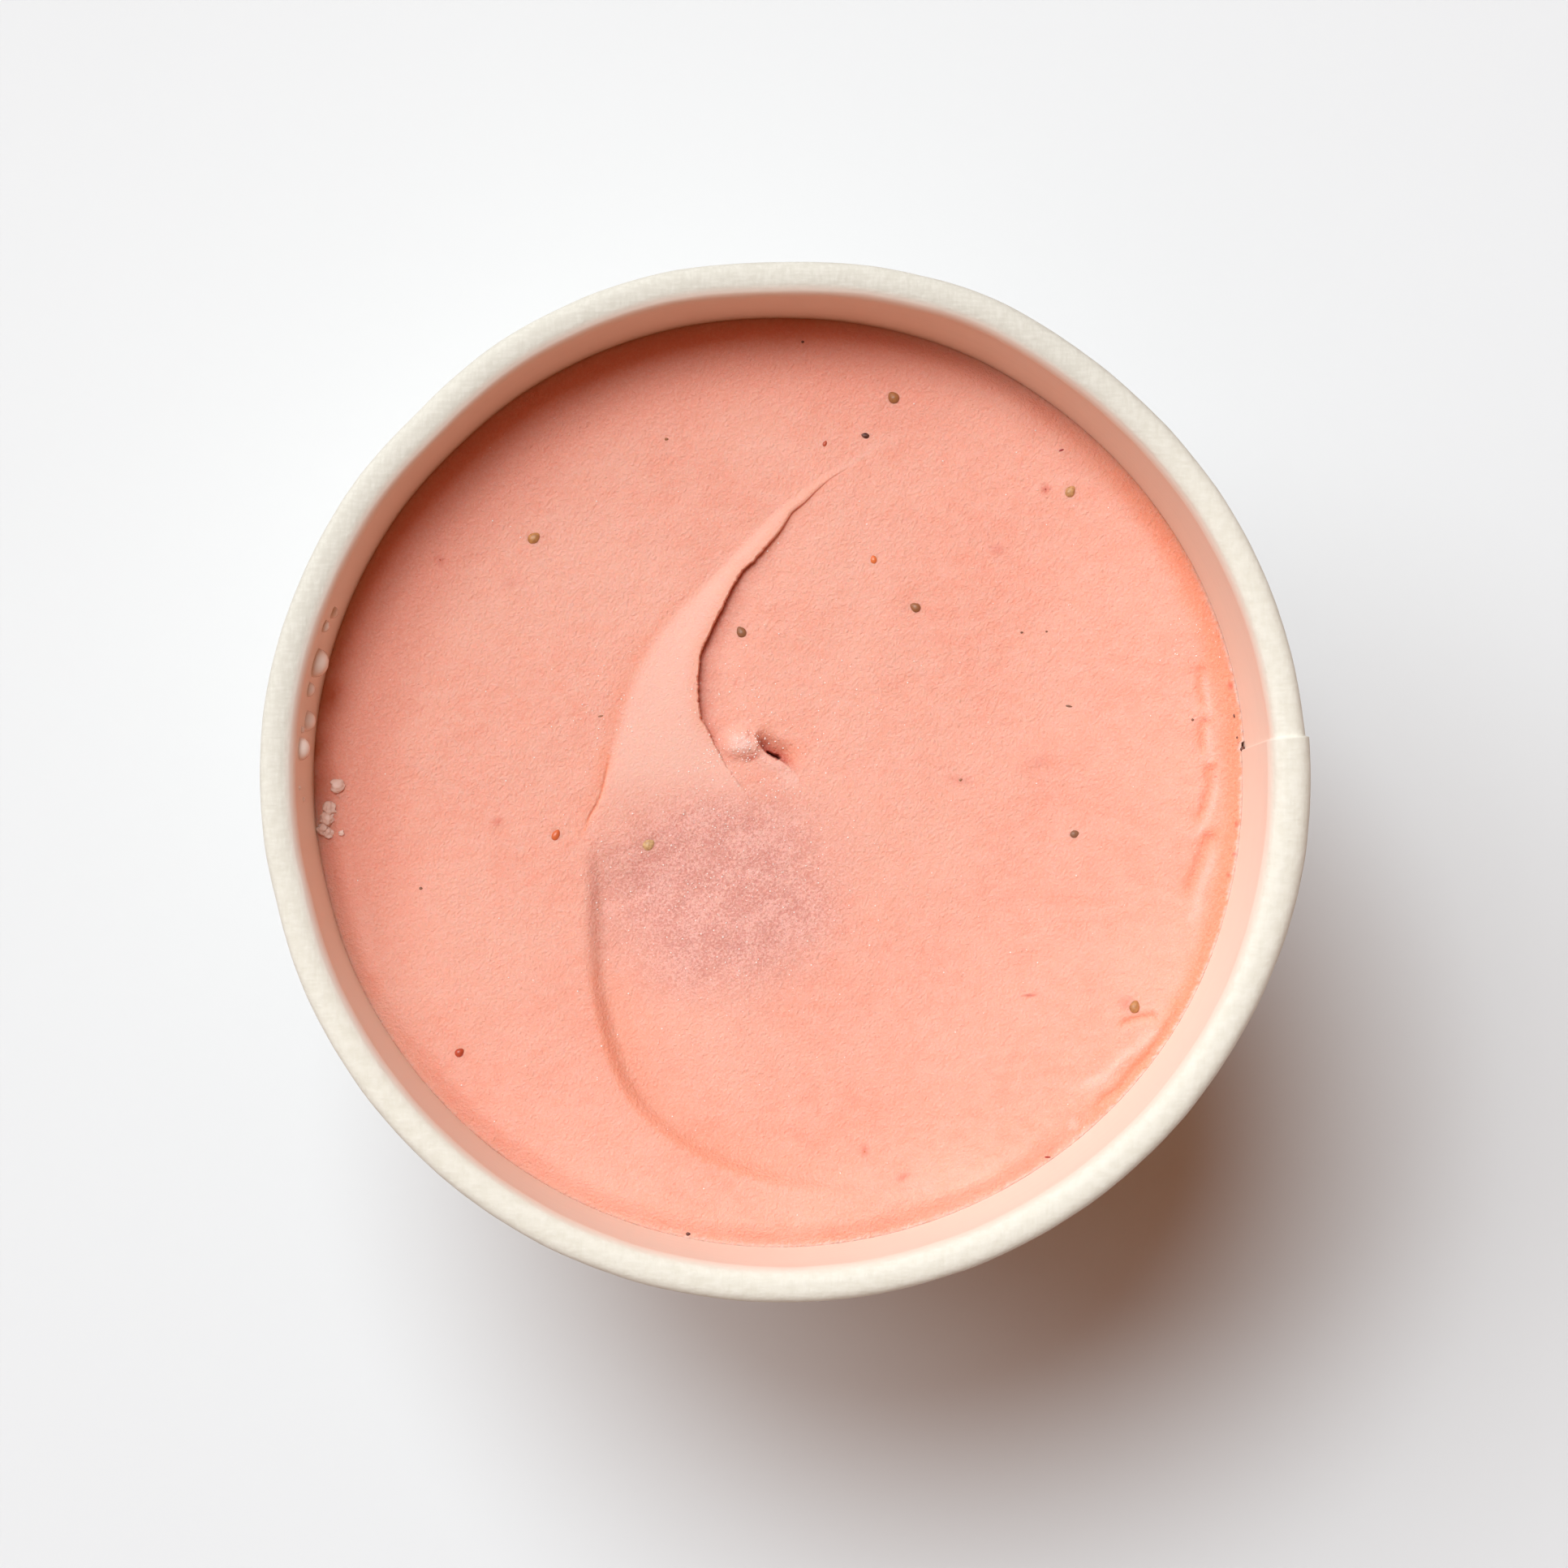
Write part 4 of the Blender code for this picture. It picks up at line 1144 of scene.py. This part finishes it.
# %% Grains
# Middle of a patch, its spread and how many grains it holds
PATCHES = [
    ((-5.0, -9.5), 7.5, 420),
    ((-17.5, 6.5), 2.6, 60),
    ((-4.5, 9.0), 2.2, 60),
    ((4.0, 7.5), 4.0, 60),
    ((-6.5, 0.5), 2.5, 60),
    ((39.6, 14.0), 1.3, 25),
    ((-1.0, -1.0), 3.0, 30),
    ((-3.6, 3.6), 0.75, 60),
    ((-2.4, 3.9), 0.35, 24),
    ((0.4, -0.7), 0.6, 10),
    ((-1.3, 0.2), 0.5, 8),
    ((-6.6, 3.0), 0.7, 30),
    ((0.0, 0.0), 24.0, 340),
]
SEED_OF_CHANCE = 7
chance = np.random.default_rng(SEED_OF_CHANCE)
spots = np.vstack([chance.normal(middle, spread, (count, 2)) for middle, spread, count in PATCHES])
spots = spots[np.hypot(*spots.T) < wall_at_ice - 0.6]
grain_radius = 0.035 + 0.055 * chance.random(len(spots)) ** 2.5
bm = bmesh.new()
for (x, y), z, size in zip(spots, surface_height(spots), grain_radius):
    spot = Matrix.Translation(Vector((x, y, z + size * 0.3)) * MM)
    turn = Matrix.Rotation(x * 7 % math.tau, 4, (1, 0.4, 0.7))
    bmesh.ops.create_icosphere(bm, subdivisions=1, radius=size * MM, matrix=spot @ turn)

grain_ice, tree, shader = new_material("ice_grain", 0.25)
sparkle = speckle(tree, place_of(tree), 3 * MM)
tree.links.new(mix(tree, sparkle, (0.98, 0.84, 0.76), (1.0, 0.93, 0.88)), shader.inputs["Base Color"])
grains = new_piece("ice_grains", mesh_from(bm, "ice_grains"), grain_ice, "ice_cream")
grains.data.shade_flat()

# %% Crystals
# Place, radius and height in millimetres
CRYSTALS = [
    ((-42.55, -0.4), 0.68, 0.5),
    ((-43.35, -2.6), 0.70, 0.55),
    ((-43.55, -3.5), 0.75, 0.6),
    ((-43.9, -4.5), 0.62, 0.5),
    ((-43.4, -4.9), 0.50, 0.4),
    ((-42.2, -4.9), 0.27, 0.25),
]
bm = bmesh.new()
for (x, y), size, rise in CRYSTALS:
    z = surface_height([(x, y)])[0]
    ball = bmesh.ops.create_icosphere(bm, subdivisions=4, radius=1)["verts"]
    for vertex in ball:
        facet = noise.cell(vertex.co * 1.6 + Vector((x, y, 0)))
        facet += noise.noise(vertex.co * 2.3 + Vector((x, y, 5)))
        vertex.co *= 1 + 0.22 * facet
    scale = Matrix.Diagonal((size * MM, size * MM, rise * MM, 1))
    spot = Matrix.Translation(Vector((x, y, z + rise * 0.25)) * MM)
    bmesh.ops.transform(bm, matrix=spot @ scale, verts=ball)
bmesh.ops.smooth_vert(bm, verts=bm.verts, factor=0.5, use_axis_x=True, use_axis_y=True, use_axis_z=True)

crystal_ice, tree, shader = new_material("crystal_ice", 0.22)
cloud = speckle(tree, place_of(tree), 0.5 * MM, 4)
tree.links.new(mix(tree, cloud, (0.90, 0.57, 0.46), (0.98, 0.76, 0.66)), shader.inputs["Base Color"])
shader.inputs["Transmission Weight"].default_value = 0.12
shader.inputs["IOR"].default_value = 1.31
tree.links.new(bump(tree, cloud, 0.15 * MM), shader.inputs["Normal"])
new_piece("ice_crystals", mesh_from(bm, "ice_crystals"), crystal_ice, None)

# %% [markdown]
# ## Water
# Condensation stands on the left of the inner wall as a few low domes. Each is a flattened ball
# half sunk in the board, with water's refraction.

# %% Droplets
# Azimuth in degrees, height and radius in millimetres
DROPLETS = [
    (159.5, 92.0, 0.60),
    (161.4, 94.2, 0.60),
    (165.8, 92.5, 1.40),
    (169.1, 92.9, 0.70),
    (172.8, 91.2, 1.00),
    (173.9, 93.6, 0.35),
    (176.2, 93.8, 1.10),
    (180.8, 94.1, 0.23),
    (182.2, 91.5, 0.23),
]
BULGE = 0.9  # how far a droplet stands off the wall, as a share of its radius
bm = bmesh.new()
for degrees, height, size in DROPLETS:
    angle = math.radians(degrees)
    wall = wall_reach(np.array([angle]), np.array([height]))[0]
    spot = Matrix.Translation(Vector((wall * math.cos(angle), wall * math.sin(angle), height)) * MM)
    facing = Matrix.Rotation(angle, 4, "Z") @ Matrix.Rotation(LEAN, 4, "Y")
    dome = Matrix.Diagonal((BULGE * size * MM, size * MM, size * 1.05 * MM, 1))
    bmesh.ops.create_icosphere(bm, subdivisions=4, radius=1, matrix=spot @ facing @ dome)

water, tree, shader = new_material("water", 0.04)
# Painted light: water has no colour of its own, and this light pink stands for the brightness that
# droplets gather by refraction
shader.inputs["Base Color"].default_value = (0.97, 0.80, 0.70, 1)
shader.inputs["Transmission Weight"].default_value = 0.08
shader.inputs["IOR"].default_value = 1.333
new_piece("droplets", mesh_from(bm, "droplets"), water, None)
